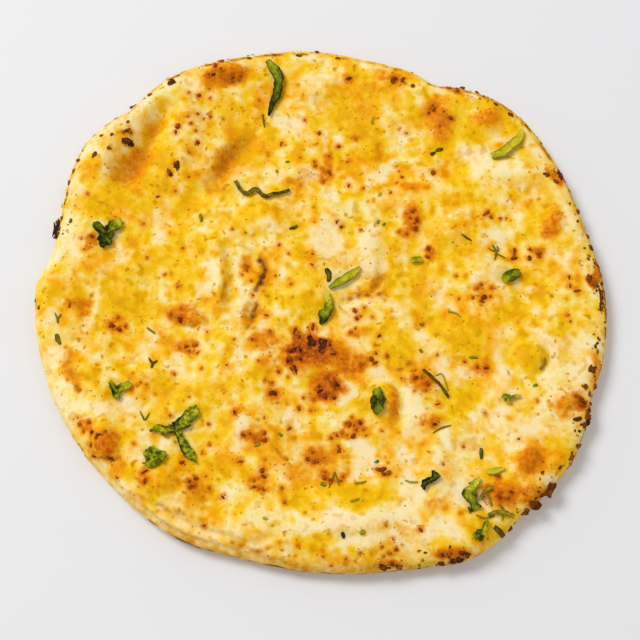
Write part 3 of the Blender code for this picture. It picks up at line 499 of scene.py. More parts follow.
# Garlic bits fused into the CAD bread, in clusters: x, y, spread, count
GARLIC_CLUSTERS = (
    (-10, -29, 5, 3), (3, -26, 4, 2), (4, -46, 5, 3), (-28, -68, 5, 3), (-3, -76, 5, 4),
    (12, -65, 7, 4), (8, -74, 3, 1), (27, -82, 3, 2), (3, -86, 4, 2), (-27, -87, 6, 3),
    (1, 60, 6, 3), (-60, -26, 6, 3), (-62, -10, 5, 2), (-92, -15, 5, 3), (-22, -47, 4, 2),
    (42, 36, 6, 4), (50, 20, 3, 2), (89, 17, 3, 2), (97, 18, 3, 2), (74, -3, 3, 2), (57, 88, 6, 4),
    (114, -52, 4, 3), (78, -92, 4, 2), (56, -119, 6, 3), (27, -121, 5, 2), (45, -40, 5, 3),
    (25, -31, 5, 2), (20, -11, 5, 2), (-52, 110, 5, 2), (36, 108, 3, 2), (-90, 76, 3, 2),
    (-68, 61, 3, 2), (121, 4, 4, 3), (-105, 24, 3, 1), (-53, -87, 4, 3), (97, -92, 3, 2),
    (90, -98, 3, 1), (66, 102, 5, 2), (-97, -67, 3, 2),
)
GARLIC_RADIUS = (0.9, 1.5)      # smallest and largest half-length
GARLIC_TILT = (0.4, 0.9)        # turn about the bit's length, in radians
GARLIC_SEED = 11
BIT_SHAPE = (0.72, 0.75)        # width and height of a bit as shares of its length
BIT_CLEARANCE = 1.3             # from a bit to the nearest leaf
BIT_SPACING = 0.5               # from a bit to the next bit
# Finer toasted bits with a size of their own: x, y, length, width, turn in degrees
SPECKS = (
    (-68, 80.5, 2.6, 1.5, 90), (-67, 84, 3.6, 2.6, 60), (-57.5, 75, 2.6, 2.2, 0),
    (-57.5, 100.5, 2.6, 2, 0), (-75, 47, 3, 1.4, 20), (0, 80, 3, 1.5, 95), (9, 73, 2.6, 1.5, 10),
    (-18, 74.5, 3, 1.5, 80), (14, 109.5, 3.5, 2.4, 15), (13.5, 52.5, 2.6, 1.5, 80),
    (53, 59.5, 3.5, 3, 60), (77, 38.5, 4.6, 1.8, 35), (79, 36.5, 2.5, 1.6, -40),
    (88.5, 16, 4, 2.6, 10), (89, 20, 3, 2, 80), (95.5, 16, 3, 2, 90), (74, -3, 4.2, 2.6, 30),
    (73, -5, 3, 2.2, -20), (73.5, -36.5, 3, 1.5, 5), (26.5, -21.5, 2.8, 1.6, 60),
    (24.5, -34, 3, 1.6, 15), (-24, -11.5, 3, 1.1, -15), (-37, -56.5, 3, 1.5, 115),
    (-13, -64, 3, 1.6, 25), (-9, -55, 3, 1.5, 110), (-20, -48, 3.8, 2.4, -30),
    (-34, -78.5, 3.2, 1.3, 5), (-5, -77.5, 2.6, 2, -20), (8, -74, 3.8, 1.3, 55),
    (8.6, -74, 3.6, 1.2, -35), (27, -82, 4.6, 2.6, 15), (27.5, -84, 3, 1.8, -30),
    (-24, -85, 3, 1.9, -25), (-41, -94, 3.2, 1.3, -45), (-74.5, -87, 3, 2, 80),
    (-75, -83, 4.6, 1.3, 20), (-59, -79, 3, 2, 30), (-112, -6.5, 3.8, 1.4, 80),
    (-92.5, -17, 3.8, 1.5, 10), (-62.5, -13, 3, 1.5, -10), (51.5, -53, 3, 1.1, 20),
    (50, -62, 3, 1.5, 0), (42.5, -108, 2.7, 1.6, -50), (32, -116, 2.2, 1.8, 0),
    (-53, 112, 3, 1.2, 25), (-42, 110, 3, 0.9, 5), (-12, -28, 3.4, 2, 30),
    (-8.5, -28, 2.6, 1.8, 80), (2, -26, 4.6, 2.6, 65), (-3, -24.5, 3.4, 2, 10),
    (-12, -37, 3.2, 1.6, -50), (-3, -17, 4.2, 1.6, 88), (-11, -19, 4, 1.6, 70),
    (7.5, -44, 2.6, 2.2, 0), (0, -47, 3.4, 2, 30), (-14, -33, 3, 1.8, 80), (6, -30, 3, 1.4, 0),
    (10, 31.5, 2.2, 1.8, 0), (8, 34, 2.4, 1.2, 60), (-25.4, 7, 2.6, 1.6, 60),
    (116, 0, 4.2, 1.6, 10), (113, 6.5, 2.8, 1.2, 80), (113, 2.5, 2.6, 1.2, 95),
    (-9, -22, 3, 1.2, 60),
)
# Places of the other fine bits, whose sizes and turns are drawn
SPECK_PLACES = (
    (-62.5, 102), (-52.5, 99), (-52, 89), (-55, 88), (-62.5, 89), (-58, 90.5), (-58.5, 81.5),
    (-61, 85.5), (-61.5, 70), (-61, 57), (-67, 50), (-108, 48.5), (-78.5, 16.5), (-81, 33),
    (-64, 2), (-62.5, 21), (-50, -19.5), (-70, 8), (-109, 26), (-107.5, 20.5), (-40, 30.5),
    (17, 77), (-7, 87), (4.5, 68), (13, 65), (5, 58.5), (2, 54.5), (-9, 67), (-2.5, 65),
    (20.5, 51.5), (36, 54), (38.5, 57), (37, 60), (36, 62.5), (33, 49), (40, 28), (36.5, 29),
    (41, 80), (42, 36), (44, 40), (43.5, 33.5), (40, 38.5), (54, 95), (59, 91.5), (62, 87.5),
    (57, 84), (52, 91), (83, 36), (86, 36), (100, 17), (62, 7.5), (62.5, -3.8), (71, 1.3), (73, 3),
    (69, -3.3), (77.5, 1.5), (111, -11.5), (112, -14.5), (46, -16), (52, -30), (64, -33.5),
    (69.5, -36), (25, -29.5), (23.5, -12.5), (18.5, -12), (20, -8), (42, -37.5), (45, -41),
    (36, -41), (-20, 7.5), (-13, 3.5), (-18.5, 22.5), (-14, 18.5), (-3, 18), (-3.5, 13), (-30, -2),
    (-38, -23), (-30, -23), (-22, -19), (19, 30), (-24, -59), (-4, -56), (-7, -50), (-28, -68),
    (-25, -69), (-30, -66), (-27, -70.5), (-3, -74.5), (-1, -78.5), (2.5, -77), (14, -59),
    (11.5, -61.5), (15, -62.5), (16, -64.5), (19, -64.5), (20, -67), (15, -66.5), (12, -67),
    (9.5, -66), (7.5, -67), (5, -68), (27, -65), (2, -83), (10, -85), (9, -87), (-28, -87),
    (-26, -90), (-23, -91), (-16, -90), (-15, -96), (-48.5, -85), (-55.5, -87), (-53, -89),
    (-47, -90), (-50.5, -75), (-47.5, -71), (-48, -62), (-65, -58), (-57, -49.5), (-80, -70.5),
    (-86.5, -85.5), (-48.5, -106), (-64, -39), (-52, -36.5), (-78.5, -43), (-105, -46.5),
    (-90, -12.5), (-86.5, -17), (-62, -8), (-66.5, -11), (-62, -27), (-57.5, -28.5), (-54, -29.5),
    (-102, -65), (-104, -62), (-100, -61), (-105, -59), (72, -57), (95, -51.5), (86, -68.5),
    (53, -79.5), (62, -72), (76.5, -85), (77, -93), (80, -94), (72, -90), (17, -117.5), (1.5, -119),
    (5, -123), (26, -115), (28, -106), (-9, -114.5), (11, -120), (-33, 10), (-35, 8), (-3, -51),
    (-47.5, 115), (-38, 111), (-53, 104), (-33, 12), (-31, 5), (-18, -38), (-24, -42), (-21, -43),
    (-27, -33), (14, -20), (16, -18), (19, -35), (-41, -35), (31, -112), (27, -119), (55, -118),
    (60, -117), (51, -119),
)
SPECK_LENGTH = (1.3, 2.1)       # shortest and longest of these
SPECK_WIDTH = (0.6, 0.95)       # share of the length
SPECK_SEED = 4
STAIN_REACH = 1.5               # how far a bit browns the crust round it
STAIN_STRENGTH = 0.42
STAIN_CORE = 3.0                # a bit's length over this is the width that counts as the bit
STAIN_LOSS = 0.6                # how much of the stain is lost where the crust is toasted anyway
# How far a spot fades over its edge, as a share of its reach
SPOT_SOFTNESS = 0.55
TOAST_SOFTNESS = 0.6
CHAR_SOFTNESS = 0.5
SPOT_WARP = ((11.0, 6.0), (4.6, 3.2), (2.1, 1.3))    # how ragged the spots are: length and reach
TOAST_WARP = 0.5                # share of that raggedness that toasted places take
LINE_WARP = 0.12                # and brown lines
RIM_WARP = 0.5                  # and the pale stretches of the rim
TOAST_SHARE = 0.85              # how much of the strength of toasted places counts
TONE_BASE = 0.53
TONE_MOTTLE = ((15.0, 0.42), (7.0, 0.54), (3.8, 0.42))
MOTTLE_CALM = 0.72              # how much less mottled the pale and butter places are
STREAKS = (9.0, 2.2, 0.36)      # streaks of stretched dough: length, length over width, swing
PAINTED_SHADE_TONE = 0.12              # painted shade: how much deeper and more amber the colour is on slopes away from the light
PAINTED_SHADE_TOP = 0.9                # but no deeper than this
SHADED_PALE = 0.45              # painted shade: how much less pale the bare dough is on those slopes
SLOPE_GAIN = 3.0                # slopes of a third and more count in full
LIGHT_SIDE = (-0.84, 0.54)
PALE_SHARE = 0.50
BUTTER_SHARE = 0.36
AMBER_BASE = 0.42               # hue of the dough: 0 is lemon yellow and 1 is amber
AMBER_MOTTLE = ((22.0, 0.45), (8.0, 0.40))
AMBER_SHARES = (-0.25, 0.2, 0.8)    # added in butter, bare dough and toasted places
DRIED_AND_SHADE_DEEPENING = 0.5              # how much deeper the butter is where the dough is dull and brown, painted crease shade included
LINE_PATCHES = (3.2, 0.75, 1.1, 0.3, 1.1)    # length, average, swing, least and most
EVEN_WIDTH = 1.2                # half-width from which a brown line gets less and less patchy
LINE_SPREAD = 0.5               # added to the half-width of brown lines, since they fade over it
# Slices of the noise that the patterns are cut from, so that no two are alike
SLICES = {
    "warp_x": 3.1, "warp_y": 7.9, "mottle": 11.0, "streaks": 17.0, "grain": 31.0, "crags": 41.0,
    "blisters": 51.0, "amber": 61.0, "edge": 71.0, "edge_line": 72.0, "lines": 81.0, "under": 91.0,
}


def reading_place(points):
    """Where points of the skin are seen on the level that spots are placed on."""
    nearer = (EYE[2] - SPOT_LEVEL) / (EYE[2] - points[:, 2])
    return (EYE[0] + (points[:, 0] - EYE[0]) * nearer, EYE[1] + (points[:, 1] - EYE[1]) * nearer)


def spotted(x, y, spots, softness=SPOT_SOFTNESS):
    """Strongest of the spots at each place, fading over their edges."""
    value = np.zeros(np.shape(x))
    for centre_x, centre_y, half_length, half_width, turn, strength in spots:
        share = oval_share(x, y, centre_x, centre_y, half_length, half_width, turn)
        fade = np.clip((1.0 + softness - share) / (2.0 * softness), 0.0, 1.0)
        value = np.maximum(value, strength * fade * fade * (3.0 - 2.0 * fade))
    return value


def in_arc(first, last, fade):
    """1 between two bearings of the rim and 0 outside, with a soft change."""
    off = np.abs(bearing_off(bearings, (first + last) / 2))
    return np.clip(((last - first) / 2 + fade - off) / (2 * fade), 0.0, 1.0)


def past_turn(start, reach):
    """0 before a turn round the edge and 1 a reach further on, over the whole skin."""
    return np.clip((turns - start) / reach, 0.0, 1.0)


def pattern(length, height, level):
    """Unevenness of a given length over the whole skin, from one slice of the noise."""
    return wave(skin_x, skin_y, length, height, level)


def patterns(sizes, name):
    """Sum of patterns of several lengths and heights."""
    return sum(pattern(length, height, SLICES[name] + length) for length, height in sizes)


def patches(length, average, swing, least, most, name):
    """Patches that come and go over the whole skin, between two limits."""
    return np.clip(average + pattern(length, swing, SLICES[name]), least, most)


def straight_below(x, y):
    """Point of the skin under a plan place in metres and the way that it faces, or None twice."""
    return bread_tree.ray_cast(Vector((x, y, 1.0)), Vector((0, 0, -1)))[:2]


def settle(x, y):
    """Point of the skin seen at a place on the spot level, the way that the skin faces there, and
    how far the place hangs out from it where the line of sight passes the bread by."""
    eye = Vector(EYE) * MM
    place = Vector((x, y, SPOT_LEVEL)) * MM
    point, facing, _, _ = bread_tree.ray_cast(eye, place - eye)
    if point is None:
        point, facing, _, _ = bread_tree.find_nearest(place)
        return point, facing, place - point
    return point, facing, Vector()


def cluster_bits():
    """Garlic bits where the CAD bread has them: plan x and y, length, width, turn, tilt."""
    leaf_corners = np.array([corner.co.xy / MM for thing in bpy.data.objects
                             if thing.name.startswith(("leaf_", "stem_"))
                             for corner in thing.data.vertices])
    draw = random.Random(GARLIC_SEED)
    placed = []
    for centre_x, centre_y, spread, count in GARLIC_CLUSTERS:
        for _ in range(count):
            radius = draw.uniform(*GARLIC_RADIUS)
            tilt = draw.uniform(*GARLIC_TILT)
            turn = draw.uniform(0.0, math.pi)
            way = draw.uniform(0.0, 2 * math.pi)
            far = spread * math.sqrt(draw.random())
            x = centre_x + far * math.cos(way)
            y = centre_y + far * math.sin(way)
            below = straight_below(x * MM, y * MM)[0]
            near_leaf = np.min(np.hypot(leaf_corners[:, 0] - x, leaf_corners[:, 1] - y))
            gaps = [math.hypot(x - bit[0], y - bit[1]) - radius - bit[2] / 2 for bit in placed]
            crowded = any(gap < BIT_SPACING for gap in gaps)
            if below is None or below.z < WIDEST_HEIGHT * MM or crowded:
                continue
            if near_leaf >= radius + BIT_CLEARANCE:
                placed.append((x, y, 2 * radius, 2 * radius * BIT_SHAPE[0], turn, tilt))
    return placed


def seen_bits():
    """The finer bits, read on the spot level and brought onto the skin."""
    draw = random.Random(SPECK_SEED)
    read = [(x, y, length, width, math.radians(turn)) for x, y, length, width, turn in SPECKS]
    for x, y in SPECK_PLACES:
        length = draw.uniform(*SPECK_LENGTH)
        read.append((x, y, length, length * draw.uniform(*SPECK_WIDTH), draw.uniform(0.0, math.pi)))
    bits = []
    for x, y, length, width, turn in read:
        point = settle(x, y)[0] / MM
        bits.append((point.x, point.y, length, width, turn, 0.0))
    return bits


garlic_bits = cluster_bits() + seen_bits()
stain = np.zeros(len(skin))
for x, y, length, _, _, _ in garlic_bits:
    away = np.clip(np.hypot(skin_x - x, skin_y - y) - length / STAIN_CORE, 0.0, None)
    stain = np.maximum(stain, STAIN_STRENGTH * bell(away, STAIN_REACH))

bread_bm.normal_update()
facings = [vert.normal.x * LIGHT_SIDE[0] + vert.normal.y * LIGHT_SIDE[1] for vert in bread_bm.verts]
shaded = np.clip(-SLOPE_GAIN * np.array(facings), 0.0, 1.0)
upper = turns < UPPER_TURN
read_x, read_y = reading_place(skin)
warp_x, warp_y = patterns(SPOT_WARP, "warp_x"), patterns(SPOT_WARP, "warp_y")
pale = spotted(read_x + warp_x, read_y + warp_y, PALE_SPOTS)
butter = spotted(read_x + warp_x, read_y + warp_y, BUTTER_SPOTS)
toast_x, toast_y = read_x + TOAST_WARP * warp_x, read_y + TOAST_WARP * warp_y
toast = spotted(toast_x, toast_y, TOAST_SPOTS, TOAST_SOFTNESS)
char = spotted(toast_x, toast_y, CHAR_SPOTS, CHAR_SOFTNESS) * upper
toast = np.clip(toast * TOAST_SHARE + stain * (1.0 - STAIN_LOSS * toast), 0.0, 1.0) * upper
rim_inset = rim_reach(bearings) - np.hypot(skin_x, skin_y) + RIM_WARP * warp_x
for first, last, width, strength in RIM_PALE:
    end, softness = (share * width for share in RIM_PALE_FADE)
    fade = np.clip((end - rim_inset) / softness, 0.0, 1.0)
    pale = np.maximum(pale, strength * in_arc(first, last, RIM_PALE_SOFTNESS) * fade)
# Painted shade: bare dough is less pale on slopes that face away from the light
pale = pale * (1.0 - SHADED_PALE * shaded)

streak_length, streak_ratio, streak_swing = STREAKS
streaks = wave(skin_x * streak_ratio, skin_y, streak_length, streak_swing, SLICES["streaks"])
mottle = patterns(TONE_MOTTLE, "mottle") + streaks
mottle = mottle * (1.0 - MOTTLE_CALM * np.clip(np.maximum(pale, butter), 0.0, 1.0))
tone = TONE_BASE + mottle - PALE_SHARE * pale + BUTTER_SHARE * butter
# Painted shade: slopes that face away from the light get a deeper, more amber colour
painted_shade_tone = PAINTED_SHADE_TONE * shaded * np.clip(PAINTED_SHADE_TOP - tone, 0.0, 1.0)
tone = tone + painted_shade_tone
amber = AMBER_BASE + patterns(AMBER_MOTTLE, "amber")
for share, places in zip(AMBER_SHARES, (butter, pale, toast)):
    amber = amber + share * places
amber = amber + painted_shade_tone

brown = np.zeros(len(skin))
line_patches = patches(*LINE_PATCHES, "lines")
# Brown lines: dried dough, and painted shade in creases, dents and valleys
for line, half_width, strength in BROWN_AND_CREASE_SHADE_LINES:
    away = line_distance(read_x + LINE_WARP * warp_x, read_y + LINE_WARP * warp_y, line)
    evenness = min(1.0, EVEN_WIDTH / half_width)
    line_strength = strength * (1.0 - evenness * (1.0 - line_patches))
    brown = np.maximum(brown, line_strength * bell(away, half_width + LINE_SPREAD))
smudge_draw = random.Random(SPECK_SEED)
for _ in range(SMUDGES):
    way = smudge_draw.uniform(0.0, 2 * math.pi)
    far = RIM_REACH[0] * math.sqrt(smudge_draw.random()) * SMUDGE_SPAN
    away = np.hypot(skin_x - far * math.cos(way), skin_y - far * math.sin(way))
    reach = smudge_draw.uniform(*SMUDGE_REACH)
    strength = smudge_draw.uniform(*SMUDGE_STRENGTH)
    smudge = strength * bell(away, reach) * (1.0 - SMUDGE_LOSS * np.minimum(pale, 1.0))
    brown = np.maximum(brown, smudge)
cloud_length, cloud_strength = UNDER_BROWN
clouds = cloud_strength * (turns > UNDER_TURN) * (pattern(cloud_length, 1.0, SLICES["under"]) > 0.0)
brown = brown * (upper + clouds)

edge_middle, edge_rise, edge_width = EDGE_TURN
past_line = turns - edge_middle + edge_rise * np.sin(np.radians(bearings))
past_line = past_line + pattern(*EDGE_WANDER, SLICES["edge_line"])
side_strength, side_reach = EDGE_FADE
side_band = side_strength * bell(past_line, side_reach) * (past_line > 0.0)
edge_band = np.maximum(bell(past_line, edge_width), side_band) * patches(*EDGE_PATCHES, "edge")
for first, last, strength in EDGE_BROWN:
    brown = np.maximum(brown, strength * in_arc(first, last, EDGE_SOFTNESS) * edge_band)
for first, last, strength in EDGE_TOAST:
    toast = np.maximum(toast, strength * in_arc(first, last, EDGE_SOFTNESS) * edge_band)

side, below = past_turn(*SIDE_TURNS), past_turn(*BELOW_TURNS)
patchy = np.where(turns > UNDER_TURN, sum(pattern(*layer) for layer in UNDER_PATCHES),
                  sum(pattern(*layer) for layer in SIDE_PATCHES))
level, underneath, patchiness, most = SIDE_TOAST
toast = np.maximum(toast, side * np.clip(level + underneath * below + patchiness * patchy, 0.0, most))
level, underneath, patchiness = SIDE_TONE
tone = tone * (1.0 - side) + side * (level + underneath * below + patchiness * patchy)
wall = in_arc(*FRONT_WALL, WALL_SOFTNESS) * past_turn(*WALL_TURNS) * (1.0 - below)
toast = toast * (1.0 - WALL_TOAST_LOSS * wall)
level, patchiness, share = WALL_TONE
tone = tone + (level + patchiness * patchy - tone) * share * wall
level, patchiness = WALL_TAN
brown = np.maximum(brown, wall * level * (1.0 + patchiness * patchy))

crag_length, crag_height = TOAST_CRAG
crags = np.abs(pattern(crag_length, CRAG_GAIN, SLICES["crags"]))
relief = (patterns(GRAINS, "grain") + crag_height * toast * crags) * (turns < RELIEF_TURN)
blister_length, blister_height = UNDER_BLISTERS
blister_gain, blister_loss = BLISTER_SLOPE
hollow = np.clip(pattern(blister_length, blister_gain, SLICES["blisters"]) - blister_loss, 0.0, 1.0)
base_turn, base_share = UNDER_FLAT
relief = np.where(turns > base_turn, -blister_height * hollow * (shares < base_share), relief)
for vert, rise in zip(bread_bm.verts, relief):
    vert.co += vert.normal * (rise * MM)
    vert.co.z = max(vert.co.z, 0.0)
tints = {"tone": tone, "amber": amber, "toast": toast, "char": char, "brown": brown}
tint_layers = {name: bread_bm.verts.layers.float.new(name) for name in tints}
for name, values in tints.items():
    for vert, value in zip(bread_bm.verts, values):
        vert[tint_layers[name]] = value
bread_tree = BVHTree.FromBMesh(bread_bm)


def new_piece(name, bm, material):
    """A finished mesh as an object of its own, with its place in its mesh."""
    bm.verts.sort(key=lambda vert: slant(vert.co))
    bm.edges.sort(key=lambda edge: slant(edge.verts[0].co + edge.verts[1].co))
    order_faces(bm)
    mesh = bpy.data.meshes.new(name)
    bm.to_mesh(mesh)
    bm.free()
    mesh.materials.append(material)
    mesh.shade_smooth()
    piece = bpy.data.objects.new(name, mesh)
    bpy.context.scene.collection.objects.link(piece)
    return piece


GRAIN_DETAIL = 2.0              # of a noise, where nothing else is said


class Recipe:
    """A material as it is built up, node by node."""

    def __init__(self, name):
        self.material = bpy.data.materials.new(name)
        self.material.use_nodes = True
        self.tree = self.material.node_tree
        self.surface = self.tree.nodes["Principled BSDF"]
        self.place = self.tree.nodes.new("ShaderNodeTexCoord").outputs["Object"]

    def node(self, kind, inputs=(), **settings):
        made = self.tree.nodes.new(kind)
        for key, value in settings.items():
            setattr(made, key, value)
        for key, value in dict(inputs).items():
            if isinstance(value, bpy.types.NodeSocket):
                self.tree.links.new(value, made.inputs[key])
            else:
                made.inputs[key].default_value = value
        return made

    def attribute(self, name):
        return self.node("ShaderNodeAttribute", attribute_name=name).outputs["Fac"]

    def grain(self, length_mm, detail=GRAIN_DETAIL):
        """A noise whose lumps are about this long."""
        inputs = {"Vector": self.place, "Scale": 1.0 / (length_mm * MM), "Detail": detail}
        return self.node("ShaderNodeTexNoise", inputs).outputs["Fac"]

    def math(self, operation, first, second=0.0, clamp=False):
        inputs = {0: first, 1: second}
        return self.node("ShaderNodeMath", inputs, operation=operation, use_clamp=clamp).outputs[0]

    def add(self, first, second, clamp=False):
        return self.math("ADD", first, second, clamp)

    def times(self, first, second, clamp=False):
        return self.math("MULTIPLY", first, second, clamp)

    def band(self, value, low, high, to_low=0.0, to_high=1.0):
        inputs = {"Value": value, "From Min": low, "From Max": high, "To Min": to_low, "To Max": to_high}
        return self.node("ShaderNodeMapRange", inputs, interpolation_type="SMOOTHSTEP").outputs[0]

    def grain_band(self, length_mm, detail, *limits):
        """A grain of this length and detail, of which a band is used."""
        return self.band(self.grain(length_mm, detail), *limits)

    def ramp(self, value, stops):
        made = self.node("ShaderNodeValToRGB", {"Fac": value})
        while len(made.color_ramp.elements) < len(stops):
            made.color_ramp.elements.new(0.5)
        for element, (position, colour) in zip(made.color_ramp.elements, stops):
            element.position = position
            element.color = (*colour, 1.0)
        return made.outputs["Color"]

    def mix(self, share, first, second):
        """One colour laid over another. The colours are the node's seventh and eighth inputs."""
        inputs = {"Factor": share, 6: first, 7: second}
        return self.node("ShaderNodeMix", inputs, data_type="RGBA").outputs[2]

    def link(self, output, socket):
        self.tree.links.new(output, self.surface.inputs[socket])

    def bump(self, height, strength, distance_mm):
        inputs = {"Height": height, "Strength": strength, "Distance": distance_mm * MM}
        self.link(self.node("ShaderNodeBump", inputs).outputs["Normal"], "Normal")


# Grains of the dough: length in millimetres and detail, the band of the noise that is used, and
# what it adds or multiplies by
COARSE_GRAIN = 3.0
FINE_GRAIN = 1.3
TINY_GRAIN = 0.5
COARSE_TONE = (0.25, 0.75, -0.14, 0.14)
FINE_TONE = (0.25, 0.75, -0.06, 0.06)
GRIT = (3.6, 0.6, 0.50, 0.70, 0.0, 0.36)
GRIT_CLOUDS = (11.0, GRAIN_DETAIL, 0.34, 0.62, 0.3, 1.0)
FRECKLES = (2.7, 0.5, 0.63, 0.74, 0.0, 0.55)
FRECKLE_CLOUDS = (9.0, GRAIN_DETAIL, 0.42, 0.6, 0.3, 1.0)
DRIED_AND_SHADE_GRAIN = (0.3, 0.7, 0.8, 1.2)
TOAST_GRAIN = (2.4, 4.0, 0.25, 0.75, 0.6, 1.3)
BURNT_GRAIN = (0.3, 0.65, 0.6, 1.4)
# Where one colour gives way to the next
AMBER_BAND = (0.3, 0.7)
TOASTED_BAND = (0.04, 0.5)
DULL_BAND = (0.05, 0.95)
BURNT_BAND = (0.3, 0.62)
# Roughness: less where the butter is deep, with a grain, and more where the skin is toasted
BUTTER_GLOSS = (0.2, 0.9, 0.56, 0.40)
GLOSS_GRAIN = (0.3, 0.7, -0.06, 0.08)
TOAST_DULLNESS = (0.2, 0.8, 0.0, 0.3)
PITS = (0.7, 0.3)               # share of the fine and of the tiny grain in the pitted surface
PIT_BUMP = (0.7, 0.5)           # strength and depth in millimetres
# Colours from bare dough to deep butter, from orange to brown toast, of dried places and painted crease
# shade, and of char
LEMON_STOPS = (
    (0.0, (0.92, 0.78, 0.43)), (0.22, (0.92, 0.72, 0.25)), (0.45, (0.91, 0.63, 0.100)),
    (0.68, (0.90, 0.555, 0.014)), (0.85, (0.87, 0.50, 0.001)), (1.0, (0.80, 0.42, 0.000)))
AMBER_STOPS = (
    (0.0, (0.93, 0.74, 0.40)), (0.22, (0.93, 0.66, 0.22)), (0.45, (0.92, 0.55, 0.075)),
    (0.68, (0.91, 0.445, 0.009)), (0.85, (0.87, 0.37, 0.001)), (1.0, (0.78, 0.27, 0.000)))
TOAST_STOPS = (
    (0.0, (0.85, 0.40, 0.004)), (0.3, (0.82, 0.31, 0.001)), (0.55, (0.70, 0.20, 0.001)),
    (0.75, (0.54, 0.115, 0.003)), (1.0, (0.30, 0.055, 0.006)))
DRIED_AND_SHADE_STOPS = (
    (0.0, (0.60, 0.23, 0.003)), (0.5, (0.47, 0.165, 0.004)), (0.8, (0.28, 0.095, 0.008)),
    (1.0, (0.13, 0.042, 0.005)))
CHAR_STOPS = ((0.3, (0.045, 0.010, 0.006)), (0.7, (0.12, 0.03, 0.012)))


def buttered_dough():
    """Bare dough, butter, toast and char, laid over each other with a fine grain."""
    recipe = Recipe("buttered_dough")
    coarse, fine, tiny = (recipe.grain(size) for size in (COARSE_GRAIN, FINE_GRAIN, TINY_GRAIN))
    unevenness = recipe.add(recipe.band(coarse, *COARSE_TONE), recipe.band(fine, *FINE_TONE))
    grit = recipe.times(recipe.grain_band(*GRIT), recipe.grain_band(*GRIT_CLOUDS))
    freckle = recipe.times(recipe.grain_band(*FRECKLES), recipe.grain_band(*FRECKLE_CLOUDS))
    dried_and_crease_shade = recipe.times(recipe.attribute("brown"), recipe.band(coarse, *DRIED_AND_SHADE_GRAIN))
    dull = recipe.math("MAXIMUM", recipe.math("MAXIMUM", grit, freckle), dried_and_crease_shade, clamp=True)
    # The dried places took up more of the butter, and the painted crease shade is deepened the same way
    deepened_tone = recipe.add(recipe.attribute("tone"), recipe.times(dull, DRIED_AND_SHADE_DEEPENING))
    depth = recipe.add(deepened_tone, unevenness, clamp=True)
    lemon, amber = recipe.ramp(depth, LEMON_STOPS), recipe.ramp(depth, AMBER_STOPS)
    colour = recipe.mix(recipe.band(recipe.attribute("amber"), *AMBER_BAND), lemon, amber)
    toasted = recipe.times(recipe.attribute("toast"), recipe.grain_band(*TOAST_GRAIN), clamp=True)
    burnt = recipe.times(recipe.attribute("char"), recipe.band(fine, *BURNT_GRAIN))
    for places, band, shade, stops in (
            (toasted, TOASTED_BAND, toasted, TOAST_STOPS), (dull, DULL_BAND, dull, DRIED_AND_SHADE_STOPS),
            (burnt, BURNT_BAND, tiny, CHAR_STOPS)):
        colour = recipe.mix(recipe.band(places, *band), colour, recipe.ramp(shade, stops))
    recipe.link(colour, "Base Color")
    gloss = recipe.add(recipe.band(recipe.attribute("tone"), *BUTTER_GLOSS),
                       recipe.band(coarse, *GLOSS_GRAIN))
    recipe.link(recipe.add(gloss, recipe.band(toasted, *TOAST_DULLNESS)), "Roughness")
    recipe.surface.inputs["Specular IOR Level"].default_value = 0.06
    recipe.surface.inputs["Subsurface Weight"].default_value = 0.45
    recipe.surface.inputs["Subsurface Radius"].default_value = (1.0, 0.55, 0.2)
    recipe.surface.inputs["Subsurface Scale"].default_value = 0.002
    recipe.bump(recipe.add(recipe.times(fine, PITS[0]), recipe.times(tiny, PITS[1])), *PIT_BUMP)
    return recipe.material


def above_skin(x, y):
    """Top of the skin over a plan place in millimetres, and the way that it faces there."""
    point, facing = straight_below(x * MM, y * MM)
    if point is None:
        point, facing, _, _ = bread_tree.find_nearest(Vector((x * MM, y * MM, WIDEST_HEIGHT * MM)))
    return point, facing


naan_skin = new_piece("naan_skin", bread_bm, buttered_dough())
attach(naan_skin, "root")
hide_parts("naan_bread")

# Toasted garlic
# Finely chopped garlic, strewn over the dough before baking. The bits sank in and browned, the
# finest of them to dark crumbs.

BIT_PROUD = 0.2                 # share of its half-length that its middle stands proud
SPECK_HEIGHT = 0.30             # height of a fine bit as a share of its width
BIT_ROUGHNESS = 0.22            # how uneven a bit is, as a share of its size
BIT_BROWNING = 0.35             # how much darker a bit is where the crust is most toasted
BIT_SHADE = (0.3, 0.7)          # from pale at 0 to dark at 1
SPECK_SHADE = (0.2, 0.5)
LONG_SPECK_SHADE = 0.35         # added where a fine bit is longer than the drawn ones
LUMP_TOP = 19.0                 # bits on the highest blister are no higher than this
CRUMB_COUNT = 900
CRUMB_SIZE = (0.35, 0.8)
CRUMB_SHAPE = (1.4, 0.6)        # length and height of a crumb as shares of its width
CRUMB_SHADE = 0.6               # darkest
CRUMB_TURN = 60.0               # they lie before this turn round the edge
CRUMB_CHANCE = (0.03, 1.5)      # on bare skin, and the power of the toast that is added
CRUMB_SEED = 21
BIT_MOTTLE = (0.8, GRAIN_DETAIL, 0.25, 0.75, -0.14, 0.14)     # as the dough's grains are given


def lump(bm, layer, middle, facing, size, turn, tilt, shade, draw, corners=1):
    """One uneven bit of a given size and shade, lying along the skin."""
    steady = Vector((0, 0, 1)).rotation_difference(facing).to_matrix().to_4x4()
    place = Matrix.Translation(middle) @ steady @ Matrix.Rotation(turn, 4, "Z")
    place = place @ Matrix.Diagonal((*(Vector(size) * MM / 2), 1.0)) @ Matrix.Rotation(tilt, 4, "X")
    made = bmesh.ops.create_icosphere(bm, subdivisions=corners, radius=1.0, matrix=place)["verts"]
    for vert in made:
        vert.co = middle + (vert.co - middle) * (1.0 + draw.uniform(-BIT_ROUGHNESS, BIT_ROUGHNESS))
        vert.co.z = min(max(vert.co.z, 0.0), LUMP_TOP * MM)
        vert[layer] = shade


def crumb(bm, layer, middle, facing, sizes, shape, darkest, draw):
    """A small bit whose size, turn and shade are drawn."""
    size = draw.uniform(*sizes)
    lump(bm, layer, middle, facing, (size * shape[0], size, size * shape[1]),
         draw.uniform(0.0, math.pi), 0.0, draw.uniform(0.0, darkest), draw)


